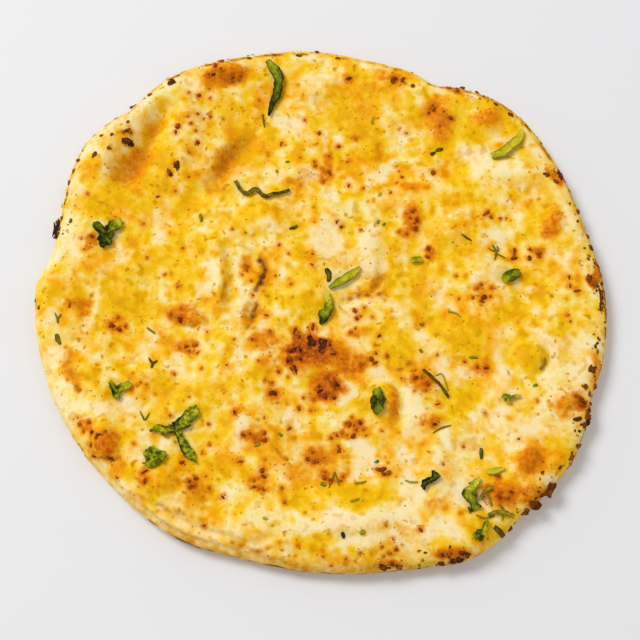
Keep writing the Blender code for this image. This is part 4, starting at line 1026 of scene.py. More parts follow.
def browned_surface(name, stops, roughness):
    """A dry toasted surface whose colour follows each bit's shade."""
    recipe = Recipe(name)
    uneven = recipe.grain_band(*BIT_MOTTLE)
    shade = recipe.add(recipe.attribute("shade"), uneven, clamp=True)
    recipe.link(recipe.ramp(shade, stops), "Base Color")
    recipe.surface.inputs["Roughness"].default_value = roughness
    recipe.surface.inputs["Specular IOR Level"].default_value = 0.08
    return recipe.material


def toasted_garlic():
    """All the garlic bits and the finest crumbs round them."""
    bm = bmesh.new()
    layer = bm.verts.layers.float.new("shade")
    draw = random.Random(CRUMB_SEED)
    for x, y, length, width, turn, tilt in garlic_bits:
        middle, facing = above_skin(x, y)
        if tilt:
            height = length * BIT_SHAPE[1]
            middle = middle + Vector((0, 0, BIT_PROUD * length / 2 * MM))
            shade = draw.uniform(*BIT_SHADE)
        else:
            height = width * SPECK_HEIGHT
            shade = draw.uniform(*SPECK_SHADE) + (length > SPECK_LENGTH[1]) * LONG_SPECK_SHADE
        shade += BIT_BROWNING * float(spotted(x, y, TOAST_SPOTS))
        lump(bm, layer, middle, facing, (length, width, height), turn, tilt, shade, draw)
    made = 0
    while made < CRUMB_COUNT:
        k = draw.randrange(len(skin))
        if turns[k] > CRUMB_TURN or draw.random() > CRUMB_CHANCE[0] + toast[k] ** CRUMB_CHANCE[1]:
            continue
        crumb(bm, layer, *above_skin(*skin[k, :2]), CRUMB_SIZE, CRUMB_SHAPE, CRUMB_SHADE, draw)
        made += 1
    bmesh.ops.recalc_face_normals(bm, faces=bm.faces[:])
    return bm


GARLIC_STOPS = (
    (0.0, (0.66, 0.28, 0.008)), (0.35, (0.46, 0.130, 0.004)), (0.65, (0.29, 0.060, 0.003)),
    (1.0, (0.12, 0.020, 0.003)))
garlic_look = browned_surface("toasted_garlic", GARLIC_STOPS, roughness=0.6)
garlic_piece = new_piece("toasted_garlic", toasted_garlic(), garlic_look)
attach(garlic_piece, "root")
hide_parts("naan_bread")

# Char
# Thin flakes and crumbs of dough that touched the hot oven wall and burnt, most of them along the
# rim.

# Flakes: x, y, length, width, turn in degrees
CHAR_FLAKES = (
    (-121.5, 30, 9, 1.8, 86), (-120.5, 27, 4.5, 1.4, 65), (-121, 33.5, 4.5, 1.4, 102),
    (-118.5, 36, 2.6, 1.5, 80), (-118, 43, 2.4, 1.4, 80), (-117, 48, 2.6, 1.3, 85),
    (-116.5, 54, 3.0, 1.4, 80), (-115, 60, 2.6, 1.3, 70), (-113, 65.5, 2.4, 1.4, 70),
    (-105.5, 69, 4, 1.5, 65), (-99, 72, 2.6, 1.5, 50), (-98, 80, 3, 1.5, 60),
    (-103, 79, 2.4, 1.4, 50), (-91, 82, 4, 1.2, 55), (-91, 86, 2.6, 1.4, 50),
    (-91.5, 77, 6, 3, -25), (-89.5, 75.5, 5, 2.4, -40), (-89, 94, 3, 2, 45),
    (-71, 108, 4.3, 2.8, 30), (-81, 100.5, 2.8, 1.5, 40), (-53, 117, 4, 1.4, 18),
    (-47, 119, 4, 1.3, 15), (-34, 121, 3, 1.4, 10), (-25, 119, 2.5, 1.5, 0),
    (-10, 122.5, 4, 1.6, 5), (-1, 124, 3, 1.2, 0), (9, 121, 2.6, 1.4, -5), (35, 108.5, 4.3, 2, 80),
    (40, 109, 3, 1.8, 20), (45, 106, 2.2, 1.6, 0), (69, 104.5, 4, 1.5, -20), (75, 102, 3, 1.4, -30),
    (84, 96, 4, 1.4, -40), (91, 90, 4, 1.4, -42), (98, 84, 3, 1.3, -45), (112.5, 57, 4.6, 1.8, 115),
    (110.5, 54.5, 2.5, 1.8, 0), (106, 58, 3, 1.8, 20), (119, 39, 3, 1.4, 105),
    (122.5, 27, 2.8, 1.4, 100), (123.5, 21, 3.8, 1.5, 95), (125, 13.5, 2.8, 1.4, 92),
    (122, 6, 4, 1.6, 60), (125, 3, 3.4, 1.8, 80), (127, -3, 4.2, 1.0, 88), (127, -8, 3.4, 0.9, 86),
    (124, -23, 3, 1.1, 85), (123, -28.5, 3, 1.2, 80), (120, -37, 4, 2.2, 75),
    (-67, 63, 4.5, 2.2, 80), (-66.5, 61.8, 3, 1.6, 60), (-70.5, 59.5, 4.5, 1.5, -50),
    (116, -45, 3, 1.8, 60), (120.5, -45, 2.8, 1.6, 70), (118, -48, 2.6, 1.6, 60),
    (112, -49.5, 2.6, 1.6, 0), (114, -51, 2.8, 1.6, 40), (116.5, -56, 3.4, 1.8, 65),
    (116, -61, 6, 2.4, 30), (112, -60, 5, 1.8, 15), (114.5, -62, 4, 2, 50),
    (115.5, -52, 3.6, 2, 80), (117.5, -59, 3.6, 1.6, 20), (112, -72, 3.6, 1.5, 60),
    (103, -81, 4, 1.4, 50), (108, -76.5, 3.6, 1.4, 55), (97, -91, 6.0, 2.6, 25),
    (100, -91, 5.0, 2.4, 80), (99, -94, 4.0, 2.2, 75), (94, -93.5, 4, 2.2, 20),
    (92, -98, 5.0, 2.6, 30), (87, -100, 4.4, 2.0, 25), (88, -100, 2.6, 1.8, 0),
    (80, -107.5, 3.6, 1.5, 30), (77, -111, 3, 1.5, 30), (-126, -8, 3, 1.4, 88),
    (57, -121, 6.5, 2.2, 5), (62, -118.5, 4, 2, 20), (51, -121.5, 4.5, 1.8, 0),
    (27, -123.5, 4.6, 1.8, 0), (33, -123, 3.4, 1.5, 5), (-96, -67, 3, 1, 45),
    (-97, -76, 2.6, 0.9, -30), (-89.5, -77, 4, 0.8, -3), (-98.5, -71, 2.6, 0.9, 80),
)
FLAKE_THICKNESS = 0.9
FLAKE_LARGE = 4.4               # longer ones have more corners
FLAKE_PARTS = 3
FLAKE_LENGTHS = (0.5, 1.0)      # length of a part as a share of the flake's
FLAKE_TURN = 25.0               # how far a part is turned to either side, in degrees
FLAKE_SLIP = 0.4                # how far the parts lie from each other, as a share of the width
FLAKE_RISE = 0.5                # share of that slip that they take upwards
FLAKE_SHADE = (0.05, 0.1, 0.3, 0.9)     # palest shade: at no length, added per mm, least, most
FLAKE_SHADE_SPAN = 0.3
FLAKE_LEAN = 0.6                # how far a flake leans with the skin under it
FLAKE_OVERHANG = 0.5            # share of the way out that flakes seen past the rim hang
# Groups of crumbs along the rim: bearing in degrees, spread, count
RIM_GROUPS = (
    (-75, 2, 6), (-66, 3, 22), (-50, 2, 5), (-43, 2.5, 16), (-34, 2, 5), (-27, 2, 20), (-22, 2, 10),
    (-17, 2, 7), (-9, 2, 5), (-2, 2.5, 14), (3, 2.5, 14), (10, 2, 7), (18, 2, 6), (27, 2, 6),
    (40, 4, 8), (48, 3, 6), (57, 3, 14), (72, 3, 6), (92, 5, 10), (105, 4, 7), (113, 3, 9),
    (124, 2, 8), (138, 4, 7), (147, 3, 5), (160, 4, 5), (166, 3, 9), (183, 2, 3), (215, 3, 3),
)
RIM_CRUMB_SIZE = (0.6, 1.7)
RIM_CRUMB_SHAPE = (1.5, 0.5)
RIM_CRUMB_SHADE = 0.75
RIM_CRUMB_TURN = (55.0, 22.0, 5.0, 100.0)   # turn round the edge: average, spread, least, most
CHAR_SEED = 8


def charred_rim():
    """The burnt flakes, and fine burnt crumbs along the rim where it is most toasted."""
    bm = bmesh.new()
    layer = bm.verts.layers.float.new("shade")
    draw = random.Random(CHAR_SEED)
    for x, y, length, width, turn in CHAR_FLAKES:
        middle, facing, gap = settle(x, y)
        middle = middle + gap * FLAKE_OVERHANG
        facing = (facing * FLAKE_LEAN + Vector((0, 0, 1))).normalized()
        base, per_mm, least, most = FLAKE_SHADE
        palest = min(max(base + per_mm * length, least), most)
        for _ in range(FLAKE_PARTS):
            slip = Vector([draw.uniform(-1.0, 1.0) for _ in range(3)]) * width * FLAKE_SLIP * MM
            slip.z = abs(slip.z) * FLAKE_RISE
            size = (length * draw.uniform(*FLAKE_LENGTHS), width, FLAKE_THICKNESS)
            part_turn = math.radians(turn + draw.uniform(-FLAKE_TURN, FLAKE_TURN))
            shade = draw.uniform(palest, palest + FLAKE_SHADE_SPAN)
            corners = 2 if length > FLAKE_LARGE else 1
            lump(bm, layer, middle + slip, facing, size, part_turn, 0.0, shade, draw, corners)
    average, turn_spread, least, most = RIM_CRUMB_TURN
    for bearing, spread, count in RIM_GROUPS:
        for _ in range(count):
            way = np.array([draw.gauss(bearing, spread)])
            turn = np.array([min(max(draw.gauss(average, turn_spread), least), most)])
            place = crust_points(way, np.array([1.0]), turn)[0] * MM
            middle, facing, _, _ = bread_tree.find_nearest(Vector(place))
            crumb(bm, layer, middle, facing, RIM_CRUMB_SIZE, RIM_CRUMB_SHAPE, RIM_CRUMB_SHADE, draw)
    bmesh.ops.recalc_face_normals(bm, faces=bm.faces[:])
    return bm


FLAKE_STOPS = (
    (0.0, (0.50, 0.19, 0.008)), (0.35, (0.30, 0.080, 0.005)), (0.7, (0.12, 0.028, 0.004)),
    (1.0, (0.018, 0.009, 0.006)))
char_look = browned_surface("charred_dough", FLAKE_STOPS, roughness=0.75)
char_piece = new_piece("char_flakes", charred_rim(), char_look)
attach(char_piece, "root")
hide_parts("naan_bread")

# Coriander leaves and stems
# Roughly chopped fresh coriander, thrown on while the bread was hot. The leaves wilted and curled
# and took on butter, so they are dark, veined and a little glossy. Each one is loose on the bread.

# Pieces that are longer than wide: stations of x, y, half-width, lift
STRIP_LEAVES = {
    "leaf_back_strip": (
        (-24.8, 117.0, 0.9, 0.8), (-22.0, 112.5, 2.3, 1.3), (-19.6, 107.5, 2.6, 1.8),
        (-20.0, 101.5, 2.0, 1.5), (-22.0, 95.0, 1.6, 1.0), (-24.2, 88.6, 0.5, 0.7)),
    "stem_curly": (
        (-39.0, 54.8, 0.8, 0.8), (-36.2, 49.6, 0.8, 0.9), (-33.0, 48.0, 0.9, 1.2),
        (-29.6, 49.9, 0.8, 1.4), (-25.4, 46.4, 1.0, 1.0), (-20.0, 47.4, 0.8, 0.8),
        (-13.8, 50.0, 0.7, 0.7)),
    "leaf_right_strip": (
        (80.4, 66.8, 1.7, 0.8), (84.8, 68.0, 2.5, 1.0), (89.4, 72.0, 2.1, 1.3),
        (93.4, 75.0, 2.0, 1.2), (95.2, 80.6, 0.7, 0.8)),
    "leaf_centre_blade": (
        (4.4, 1.6, 0.7, 0.7), (8.0, 4.0, 1.7, 0.9), (12.0, 6.4, 2.1, 1.3),
        (15.6, 9.0, 1.8, 1.0), (18.4, 11.4, 0.6, 0.7)),
    "leaf_centre_tail": (
        (2.6, -0.4, 1.2, 0.7), (4.0, -4.4, 2.4, 1.0), (4.0, -8.2, 1.9, 1.1),
        (2.4, -10.8, 2.5, 0.9), (0.6, -15.4, 0.7, 0.6)),
    "leaf_front_hook": (
        (68.2, -86.0, 0.6, 0.7), (65.4, -89.6, 2.0, 1.1), (63.8, -93.2, 2.5, 1.4),
        (64.6, -96.6, 1.7, 1.2), (65.8, -100.0, 1.9, 0.8)),
    "stem_front_hook": (
        (67.9, -95.2, 0.7, 0.7), (69.8, -92.2, 0.7, 1.0), (72.6, -90.4, 0.8, 0.7)),
    "stem_front_twig": (
        (73.2, -107.2, 1.0, 0.7), (75.2, -108.8, 0.9, 0.8), (77.4, -110.8, 0.9, 0.6)),
    "stem_front_fork": (
        (70.8, -102.4, 0.8, 0.6), (75.4, -100.8, 0.9, 0.9), (82.0, -102.6, 0.8, 0.6)),
    "stem_thin": (
        (45.6, -37.0, 0.7, 0.7), (50.4, -41.2, 0.7, 0.8), (54.0, -45.4, 0.7, 0.8),
        (56.4, -49.6, 0.6, 0.6)),
    "leaf_front_light": (
        (71.2, -83.6, 0.7, 0.7), (74.4, -83.2, 1.4, 0.9), (78.6, -82.0, 0.6, 0.7)),
}
# Pieces that spread: x, y, core radius, then lobes of bearing, reach, half-width
LOBED_LEAVES = {
    "leaf_left_pair": (-97.0, 26.6, 3.6, ((52, 10.0, 27), (138, 7.8, 26), (268, 6.6, 42))),
    "leaf_right_oval": (86.3, 7.0, 2.9, ((30, 4.8, 44), (212, 4.6, 42))),
    "leaf_blister": (25.2, -52.0, 3.2, ((90, 5.8, 38), (268, 5.8, 34))),
    "leaf_trefoil": (-62.4, -65.0, 2.2, ((46, 13.6, 25), (181, 9.6, 22), (302, 17.4, 15))),
    "leaf_curled": (-71.0, -77.0, 3.0, ((62, 4.6, 40), (160, 4.6, 32), (258, 5.4, 34), (0, 6.4, 26))),
    "leaf_vee": (-87.6, -48.8, 2.0, ((130, 6.8, 22), (50, 6.8, 28), (236, 3.4, 40))),
    "leaf_dark_flake": (46.8, -87.4, 2.2, ((35, 4.4, 34), (212, 4.6, 34))),
    "leaf_front_oval": (67.2, -110.8, 2.5, ((62, 6.6, 17), (24, 3.4, 30), (196, 4.0, 40))),
    "leaf_triangle": (82.0, -50.2, 1.2, ((6, 5.4, 16), (168, 2.8, 30), (272, 2.6, 34))),
    "leaf_small_oval": (44.0, 15.4, 1.4, ((4, 2.7, 42), (184, 2.6, 42))),
}
# Of each piece: shade from black-green at 0 to yellow-green at 1, bearing of its lighter end,
# change of shade from the middle to that end, raggedness
LEAF_SHADES = {
    "leaf_back_strip": (0.25, 85, 0.36, 0.6), "leaf_right_strip": (0.84, 60, 0.14, 0.4),
    "leaf_centre_blade": (0.74, 40, 0.12, 0.4), "leaf_centre_tail": (0.56, 95, 0.60, 0.8),
    "leaf_front_hook": (0.55, 80, 0.38, 1.2), "leaf_front_light": (0.93, 0, 0.05, 0.4),
    "leaf_left_pair": (0.28, 50, 0.46, 1.1), "leaf_right_oval": (0.54, 200, 0.20, 0.3),
    "leaf_blister": (0.35, 100, 0.12, 0.7), "leaf_trefoil": (0.50, 60, 0.14, 1.7),
    "leaf_curled": (0.54, 100, 0.22, 1.3), "leaf_vee": (0.58, 0, 0.30, 1.0),
    "leaf_dark_flake": (0.05, 0, 0.04, 1.2), "leaf_front_oval": (0.54, 0, 0.20, 1.2),
    "leaf_triangle": (0.60, 0, 0.14, 0.5), "leaf_small_oval": (0.76, 0, 0.05, 0.3),
    "stem_curly": (0.20, 180, 0.16, 1.0), "stem_front_hook": (0.50, 0, 0.05, 1.0),
    "stem_front_twig": (0.16, 0, 0.05, 1.0), "stem_front_fork": (0.48, 0, 0.15, 1.0),
    "stem_thin": (0.10, 0, 0.08, 1.0),
}
TOASTED_LEAF = "leaf_dark_flake"
LEAF_THICKNESS = 0.45
LEAF_GAP = 0.45             # smallest distance from the bread to a leaf's underside
LEAF_SPAN = 1.4             # dips narrower than this are bridged by a leaf
LEAF_RIPPLE = 0.75          # height of the waves in a leaf
LEAF_RIPPLE_LENGTH = 4.5
LEAF_RIPPLE_SLICE = 0.05    # where the waves are cut from their noise, in metres
LEAF_CRINKLE = (1.3, 0.34)  # finer unevenness: length and height
LEAF_FOLD = 0.25            # how much a leaf's sides rise from its midrib
STRIP_TIP = 0.35            # least half-width of a strip, at its tips
TEAR_SHARE = 0.40           # share of the teeth that a strip takes, for each mm of its half-width
STRIP_SPLIT = (44, 8)       # cuts along and across
HEADING_STEP = 0.02         # share of a strip over which its heading is taken
TEETH = ((3.2, 1.5), (1.2, 0.8))    # teeth and tears of a leaf's edge: length and reach
TEETH_SLICES = (2.7, 8.3)   # where their two ways of pushing are cut from their noise
LOBED_LIFT = 0.8
LOBE_CURL = 0.5             # how much higher a lobe's end lies than the leaf's middle
LOBE_SQUARENESS = 3         # the higher, the blunter a lobe
LOBE_SPLIT = (60, 20, 7)    # spokes, more for each lobe, and rings


def highest_near(x, y):
    """Highest skin within a short way of a place, so that a leaf spans the dips. In metres."""
    span = LEAF_SPAN * MM
    steps = ((0, 0), (1, 0), (-1, 0), (0, 1), (0, -1))
    hits = [straight_below(x + span * u, y + span * v)[0] for u, v in steps]
    return max(hit.z if hit else 0.0 for hit in hits)


def smooth_stations(stations, share):
    """Station values at a share of the way along, on a smooth curve through all of them."""
    last = len(stations) - 1
    place = min(share * last, last - 1e-6)
    k = int(place)
    t = place - k
    picks = [stations[min(max(k + step, 0), last)] for step in (-1, 0, 1, 2)]
    values = []
    for a, b, c, d in zip(*picks):
        bend = 2 * a - 5 * b + 4 * c - d + t * (3 * (b - c) + d - a)
        values.append(b + 0.5 * t * (c - a + t * bend))
    return values


def torn(x, y, share):
    """Where teeth and tears move a point of a leaf's edge, and less so further in. In metres."""
    push = Vector((0.0, 0.0, 0.0))
    for length, reach in TEETH:
        for axis, slice_height in enumerate(TEETH_SLICES):
            push[axis] += reach * noise.noise(Vector((x / length, y / length, slice_height)))
    return (Vector((x, y, 0.0)) + push * share) * MM


def strip_plan(bm, raggedness, stations, split=STRIP_SPLIT):
    """Flat strip along the stations. Returns the lift, way along and way across of each point."""
    grid = bmesh.ops.create_grid(bm, x_segments=split[0], y_segments=split[1], size=0.5)
    plan = {}
    for vert in grid["verts"]:
        share = min(max(vert.co.x + 0.5, 0.0), 1.0)
        x, y, half_width, lift = smooth_stations(stations, share)
        ahead = smooth_stations(stations, min(share + HEADING_STEP, 1.0))
        behind = smooth_stations(stations, max(share - HEADING_STEP, 0.0))
        heading = math.atan2(ahead[1] - behind[1], ahead[0] - behind[0])
        side = vert.co.y * 2.0
        across = side * max(half_width, STRIP_TIP)
        plan[vert] = (lift + LEAF_FOLD * abs(side), share * len(stations), side)
        tear = min(half_width * TEAR_SHARE, 1.0) * abs(side) * raggedness
        vert.co = torn(x - across * math.sin(heading), y + across * math.cos(heading), tear)
    return plan


def lobed_plan(bm, raggedness, x, y, core, lobes):
    """Flat leaf with lobes round a middle. Returns what strip_plan returns."""
    spokes, more, rings = LOBE_SPLIT
    spokes += more * len(lobes)
    bmesh.ops.create_circle(bm, cap_ends=True, cap_tris=True, segments=spokes, radius=1.0)
    spoke_edges = [e for e in bm.edges if not e.is_boundary]
    bmesh.ops.subdivide_edges(bm, edges=spoke_edges, cuts=rings - 1)
    bmesh.ops.triangulate(bm, faces=bm.faces[:])
    plan = {}
    for vert in bm.verts:
        share = vert.co.xy.length
        bearing = math.degrees(math.atan2(vert.co.y, vert.co.x))
        reach = core
        side = 1.0
        for centre, lobe_reach, half_width in lobes:
            off = bearing_off(bearing, centre)
            fullness = math.exp(-abs(off / half_width) ** LOBE_SQUARENESS)
            reach = max(reach, core + (lobe_reach - core) * fullness)
            side = min(side, abs(off) / half_width) if abs(off) < half_width else side
        turn = math.radians(bearing)
        lift = LOBED_LIFT + LOBE_CURL * share**2 + LEAF_FOLD * (side - 0.5) * share
        plan[vert] = (lift, share * reach, side)
        tear = raggedness * share**2
        vert.co = torn(x + share * reach * math.cos(turn), y + share * reach * math.sin(turn), tear)
    return plan


def leaf_layers(bm):
    """Where a leaf's points keep their shade, their place for the veins, and how blotchy it is."""
    return [bm.verts.layers.float.new(name) for name in ("shade", "along", "across", "mottle")]


def thicken(bm, faces, thickness):
    """Close a sheet by raising a copy of it, with walls all round."""
    upper = bmesh.ops.extrude_face_region(bm, geom=faces)["geom"]
    upper_verts = [g for g in upper if isinstance(g, bmesh.types.BMVert)]
    bmesh.ops.translate(bm, verts=upper_verts, vec=(0, 0, thickness * MM))


def leaf_mesh(shade, lighter_end, change, raggedness, plan_of, *shape):
    """A leaf laid over the bread, closed all round, with its shade and the lines of its veins."""
    bm = bmesh.new()
    layers = leaf_layers(bm)
    plan = plan_of(bm, raggedness, *shape)
    bmesh.ops.triangulate(bm, faces=bm.faces[:])
    middle = sum((vert.co for vert in bm.verts), Vector()) / len(bm.verts)
    size = max((vert.co - middle).length for vert in bm.verts)
    way = Vector((math.cos(math.radians(lighter_end)), math.sin(math.radians(lighter_end)), 0.0))
    crinkle_length, crinkle_height = LEAF_CRINKLE
    for vert in bm.verts:
        lift, along, across = plan[vert]
        x, y = vert.co.xy
        end_shade = shade + change * (vert.co - middle).dot(way) / size
        for layer, value in zip(layers, (end_shade, along, across, raggedness)):
            vert[layer] = value
        ripple = noise.noise(Vector((x, y, LEAF_RIPPLE_SLICE)) / (LEAF_RIPPLE_LENGTH * MM))
        crinkle = noise.noise(Vector((x, y, 0.0)) / (crinkle_length * MM)) * crinkle_height
        lift = max(LEAF_GAP, lift + ripple * LEAF_RIPPLE) + crinkle
        vert.co.z = highest_near(x, y) + lift * MM
    thicken(bm, bm.faces[:], LEAF_THICKNESS)
    bmesh.ops.triangulate(bm, faces=bm.faces[:])
    bmesh.ops.recalc_face_normals(bm, faces=bm.faces[:])
    # On a thin wavy sheet the outside can be mistaken for the inside
    if bm.calc_volume(signed=True) < 0.0:
        bmesh.ops.reverse_faces(bm, faces=bm.faces[:])
    return bm


# Blotches and flecks of a leaf, as the dough's grains are given
LEAF_BLOTCHES = (3.2, GRAIN_DETAIL, 0.3, 0.7, -0.20, 0.18)
LEAF_FLECKS = (1.5, GRAIN_DETAIL, 0.3, 0.7, -0.14, 0.17)
BLOTCH_MOTTLE = (0.2, 1.0, 0.4, 1.0)    # how a leaf's mottle strengthens its blotches
LEAF_SIDES = (0.45, 1.0, 0.08, -0.22)   # from a little lighter at the middle to darker sides
VEIN_SLANT = (3.2, 2.2)                 # side veins: how close, and how much they lean forwards
SIDE_VEINS = (0.8, 1.0, 0.0, 0.12)
MIDRIB = (0.04, 0.2, 0.30, 0.0)
VEIN_SHADES = (0.1, 0.5)                # veins show from this shade on, and in full from the next
VEIN_GRAIN = 0.7
VEIN_BUMP = (0.5, 0.25)                 # strength and depth in millimetres


def wilted_green(name, stops, vein_colour):
    """A buttery leaf: shade from end to end, blotches, a pale midrib and side veins."""
    recipe = Recipe(name)
    mottle, shade = recipe.attribute("mottle"), recipe.attribute("shade")
    blotches = recipe.times(recipe.grain_band(*LEAF_BLOTCHES), recipe.band(mottle, *BLOTCH_MOTTLE))
    flecks = recipe.times(recipe.grain_band(*LEAF_FLECKS), mottle)
    across = recipe.math("ABSOLUTE", recipe.attribute("across"))
    body = recipe.add(shade, recipe.band(across, *LEAF_SIDES))
    green = recipe.ramp(recipe.add(recipe.add(body, blotches), flecks, clamp=True), stops)
    slant = recipe.math("SUBTRACT", recipe.times(recipe.attribute("along"), VEIN_SLANT[0]),
                        recipe.times(across, VEIN_SLANT[1]))
    side_veins = recipe.band(recipe.math("SINE", slant), *SIDE_VEINS)
    veins = recipe.math("MAXIMUM", recipe.band(across, *MIDRIB), side_veins)
    shown = recipe.times(veins, recipe.band(shade, *VEIN_SHADES), clamp=True)
    recipe.link(recipe.mix(shown, green, (*vein_colour, 1.0)), "Base Color")
    recipe.surface.inputs["Roughness"].default_value = 0.5
    recipe.surface.inputs["Specular IOR Level"].default_value = 0.05
    recipe.bump(recipe.add(veins, recipe.grain(VEIN_GRAIN)), *VEIN_BUMP)
    return recipe.material


GREEN_STOPS = (
    (0.0, (0.016, 0.015, 0.001)), (0.22, (0.052, 0.062, 0.001)), (0.45, (0.135, 0.168, 0.002)),
    (0.7, (0.30, 0.295, 0.003)), (0.88, (0.49, 0.41, 0.008)), (1.0, (0.62, 0.52, 0.04)))
STEM_STOPS = (
    (0.0, (0.06, 0.030, 0.003)), (0.3, (0.16, 0.105, 0.003)), (0.6, (0.27, 0.20, 0.005)),
    (1.0, (0.46, 0.37, 0.02)))
PALE_VEIN = (0.46, 0.44, 0.05)
TOASTED_VEIN = (0.07, 0.05, 0.01)
STEM_VEIN = (0.22, 0.22, 0.04)
leaf_looks = {
    "leaf": wilted_green("coriander_leaf", GREEN_STOPS, PALE_VEIN),
    "toasted_leaf": wilted_green("toasted_coriander", GREEN_STOPS, TOASTED_VEIN),
    "stem": wilted_green("coriander_stem", STEM_STOPS, STEM_VEIN),
}
for plan_of, table in ((strip_plan, STRIP_LEAVES), (lobed_plan, LOBED_LEAVES)):
    for node_name, shape in table.items():
        shape = shape if plan_of is lobed_plan else (shape,)
        kind = "stem" if node_name.startswith("stem") else "leaf"
        kind = "toasted_leaf" if node_name == TOASTED_LEAF else kind
        leaf_bm = leaf_mesh(*LEAF_SHADES[node_name], plan_of, *shape)
        leaf_piece = new_piece("chopped_" + node_name, leaf_bm, leaf_looks[kind])
        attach(leaf_piece, "root")
        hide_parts(node_name)

# Herb shreds
# Thin shreds and flecks of coriander left from the chopping board. They lie pressed into the
# butter.

# Shreds: points along each, then its half-width and shade
SHREDS = (
    (((69.5, -72.5), (69.5, -77.5)), 0.75, 0.25), (((-14, 30.5), (-10, 32)), 0.8, 0.26),
    (((3.2, 11), (4.2, 8), (4.0, 4.5)), 1.1, 0.18), (((-55, 38), (-54.5, 34)), 0.8, 0.45),
    (((9.5, -108.8), (10.2, -111.5)), 0.8, 0.05), (((0.5, -88), (2.8, -88.8)), 0.9, 0.4),
    (((23.5, -79), (25.5, -78)), 0.6, 0.5),
)
# Twigs and bits of stalk, in the same form
STALKS = (
    (((-117, -20.5), (-115, -25.5)), 1.0, 0.3), (((52, 68.5), (54.5, 69.8)), 0.9, 0.05),
    (((54.5, 70.5), (58, 71.5)), 0.8, 0.1), (((-117, -13), (-116.6, -15.5)), 0.5, 0.4),
    (((-118.5, -10.5), (-117, -13), (-115.5, -11)), 0.4, 0.4),
    (((-75.5, -31.5), (-73.5, -34), (-71.5, -33)), 0.6, 0.15),
    (((-73.5, -34), (-74, -36.5)), 0.6, 0.15), (((-77, -17.5), (-73, -20.5)), 0.5, 0.35),
    (((-78, -56), (-76, -60), (-74, -57)), 0.4, 0.35),
    (((79, 22.5), (80.5, 19), (79.5, 15)), 0.5, 0.35),
    (((77, 21), (79.5, 19.5), (81.5, 19.5)), 0.5, 0.4),
    (((80, 18.5), (82, 17.5), (84.5, 16)), 0.45, 0.5), (((81, 22), (81.8, 19.5)), 0.45, 0.5),
    (((65, 28), (69.5, 24.5)), 0.5, 0.25), (((57.5, -10), (60.5, -10.8), (63, -12.5)), 0.5, 0.7),
    (((4, -90), (6.5, -83)), 0.4, 0.45), (((6.5, -83), (8.5, -89)), 0.4, 0.5),
    (((15, -87.5), (17.5, -87.8), (20, -87)), 0.5, 0.7), (((13, -96), (17, -94.5)), 0.5, 0.7),
    (((-27, 90), (-26, 83)), 0.4, 0.25), (((36.5, -86.5), (39, -87.5), (42, -87.5)), 0.45, 0.7),
    (((51, -40), (54, -39.5), (56.5, -47)), 0.35, 0.8),
    (((49, -66), (53, -63.5), (57, -62.5)), 0.4, 0.5),
    (((97, -37), (99.5, -34.5), (99.5, -31.5)), 0.5, 0.6), (((66, -31.5), (70, -31.8)), 0.5, 0.5),
    (((66, -101.5), (70, -103), (74, -102)), 0.45, 0.6),
    (((76, -97), (78, -100), (77, -104)), 0.45, 0.6), (((63, -98), (64, -101)), 0.5, 0.3),
    (((72, -93), (73, -98)), 0.45, 0.5),
)
# Flecks of leaf: x, y, length, shade
FLECKS = (
    (-15, 65, 2.0, 0.5), (43, 51.5, 1.6, 0.75), (27, 34, 1.8, 0.5), (29.5, 33, 1.8, 0.45),
    (94.5, -44.5, 2.2, 0.5), (-17, -66.5, 2.2, 0.55), (25, 86, 2.4, 0.7), (28, 48, 2.2, 0.7),
    (-27, -71, 2.4, 0.6), (45.5, -16, 2.0, 0.45), (45, -28.5, 1.8, 0.55), (-114.5, 34.7, 2.2, 0.3),
    (18, -109, 2.6, 0.75), (-23, -103, 2.0, 0.7), (-20, 60, 1.6, 0.6),
)
FLECK_TURN = 2.4                # radians from one fleck's way to the next one's
FLECK_WIDTH = 0.3               # half-width as a share of the length
SHRED_LIFT = 0.1
SHRED_THICKNESS = 0.3
SHRED_SPLIT = (9, 2)            # cuts along and across
SHRED_TAPER = 0.55              # how much narrower the ends are
SHRED_VEINS = 3.0               # way along that the veins are drawn over
SHRED_MOTTLE = 0.5


def shred_mesh(strips):
    """Shreds as thin closed strips along the skin."""
    bm = bmesh.new()
    layers = leaf_layers(bm)
    for points, half_width, shade in strips:
        seats = [settle(x, y)[0] / MM for x, y in points]
        stations = [(seat.x, seat.y, half_width, 0.0) for seat in seats]
        plan = strip_plan(bm, 1.0, stations, SHRED_SPLIT)
        for vert, (_, along, across) in plan.items():
            share = along / len(stations)
            taper = 1.0 - SHRED_TAPER * (2.0 * share - 1.0) ** 2
            spine = Vector(smooth_stations(stations, share)[:2]) * MM
            place = spine + (vert.co.xy - spine) * taper
            height = above_skin(place.x / MM, place.y / MM)[0].z + SHRED_LIFT * MM
            vert.co = (place.x, place.y, height)
            for layer, value in zip(layers, (shade, share * SHRED_VEINS, across, SHRED_MOTTLE)):
                vert[layer] = value
        thicken(bm, list({face for vert in plan for face in vert.link_faces}), SHRED_THICKNESS)
    bmesh.ops.recalc_face_normals(bm, faces=bm.faces[:])
    return bm


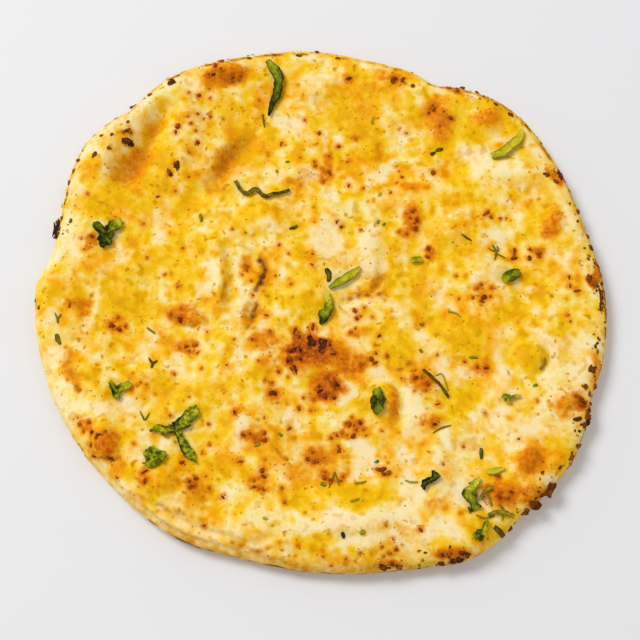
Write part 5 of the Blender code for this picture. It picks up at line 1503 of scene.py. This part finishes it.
leaf_strips = list(SHREDS)
for k, (x, y, length, shade) in enumerate(FLECKS):
    reach_x, reach_y = (length / 2 * way(FLECK_TURN * k) for way in (math.cos, math.sin))
    line = ((x - reach_x, y - reach_y), (x + reach_x, y + reach_y))
    leaf_strips.append((line, length * FLECK_WIDTH, shade))
for name, strips, kind in (("herb_shreds", leaf_strips, "leaf"), ("herb_stalks", STALKS, "stem")):
    shred_piece = new_piece(name, shred_mesh(strips), leaf_looks[kind])
    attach(shred_piece, "root")

# Floor, light and camera
# A plain pale matt surface under the bread, a broad soft light from the upper left and a weak fill
# from the lower right. Places and sizes are in metres here.

FLOOR_SIZE = 6.0
FLOOR_COLOUR = (0.77, 0.77, 0.785)
LENS = 70.0
EYE_PITCH = 20.0            # degrees that the camera leans forward from straight down
KEY_LIGHT = ((-1.22, 0.79, 1.95), 0.9, 37.0)    # place, width, power
FILL_LIGHT = ((1.0, -0.7, 1.2), 1.4, 2.0)
SKY_COLOUR = (1.0, 1.0, 1.0)
SKY_STRENGTH = 0.53


def floor_surface():
    """A matt, even, nearly white surface."""
    recipe = Recipe("pale_floor")
    recipe.surface.inputs["Base Color"].default_value = (*FLOOR_COLOUR, 1.0)
    recipe.surface.inputs["Roughness"].default_value = 0.85
    return recipe.material


floor_bm = bmesh.new()
bmesh.ops.create_grid(floor_bm, x_segments=1, y_segments=1, size=FLOOR_SIZE / 2)
floor = new_piece("floor", floor_bm, floor_surface())


def soft_light(name, place, width, power):
    """A square studio light that points at the bread."""
    light = bpy.data.lights.new(name, "AREA")
    light.size = width
    light.energy = power
    lamp = bpy.data.objects.new(name, light)
    lamp.location = place
    lamp.rotation_euler = (-Vector(place)).to_track_quat("-Z", "Y").to_euler()
    bpy.context.scene.collection.objects.link(lamp)


soft_light("key_light", *KEY_LIGHT)
soft_light("fill_light", *FILL_LIGHT)
sky = bpy.data.worlds.new("soft_sky")
sky.use_nodes = True
sky.node_tree.nodes["Background"].inputs["Color"].default_value = (*SKY_COLOUR, 1.0)
sky.node_tree.nodes["Background"].inputs["Strength"].default_value = SKY_STRENGTH
bpy.context.scene.world = sky
bpy.context.scene.view_settings.view_transform = "Standard"

lens = bpy.data.cameras.new("camera")
lens.lens = LENS
camera = bpy.data.objects.new("camera", lens)
camera.location = Vector(EYE) * MM
camera.rotation_euler = (math.radians(EYE_PITCH), 0.0, 0.0)
bpy.context.scene.collection.objects.link(camera)
bpy.context.scene.camera = camera
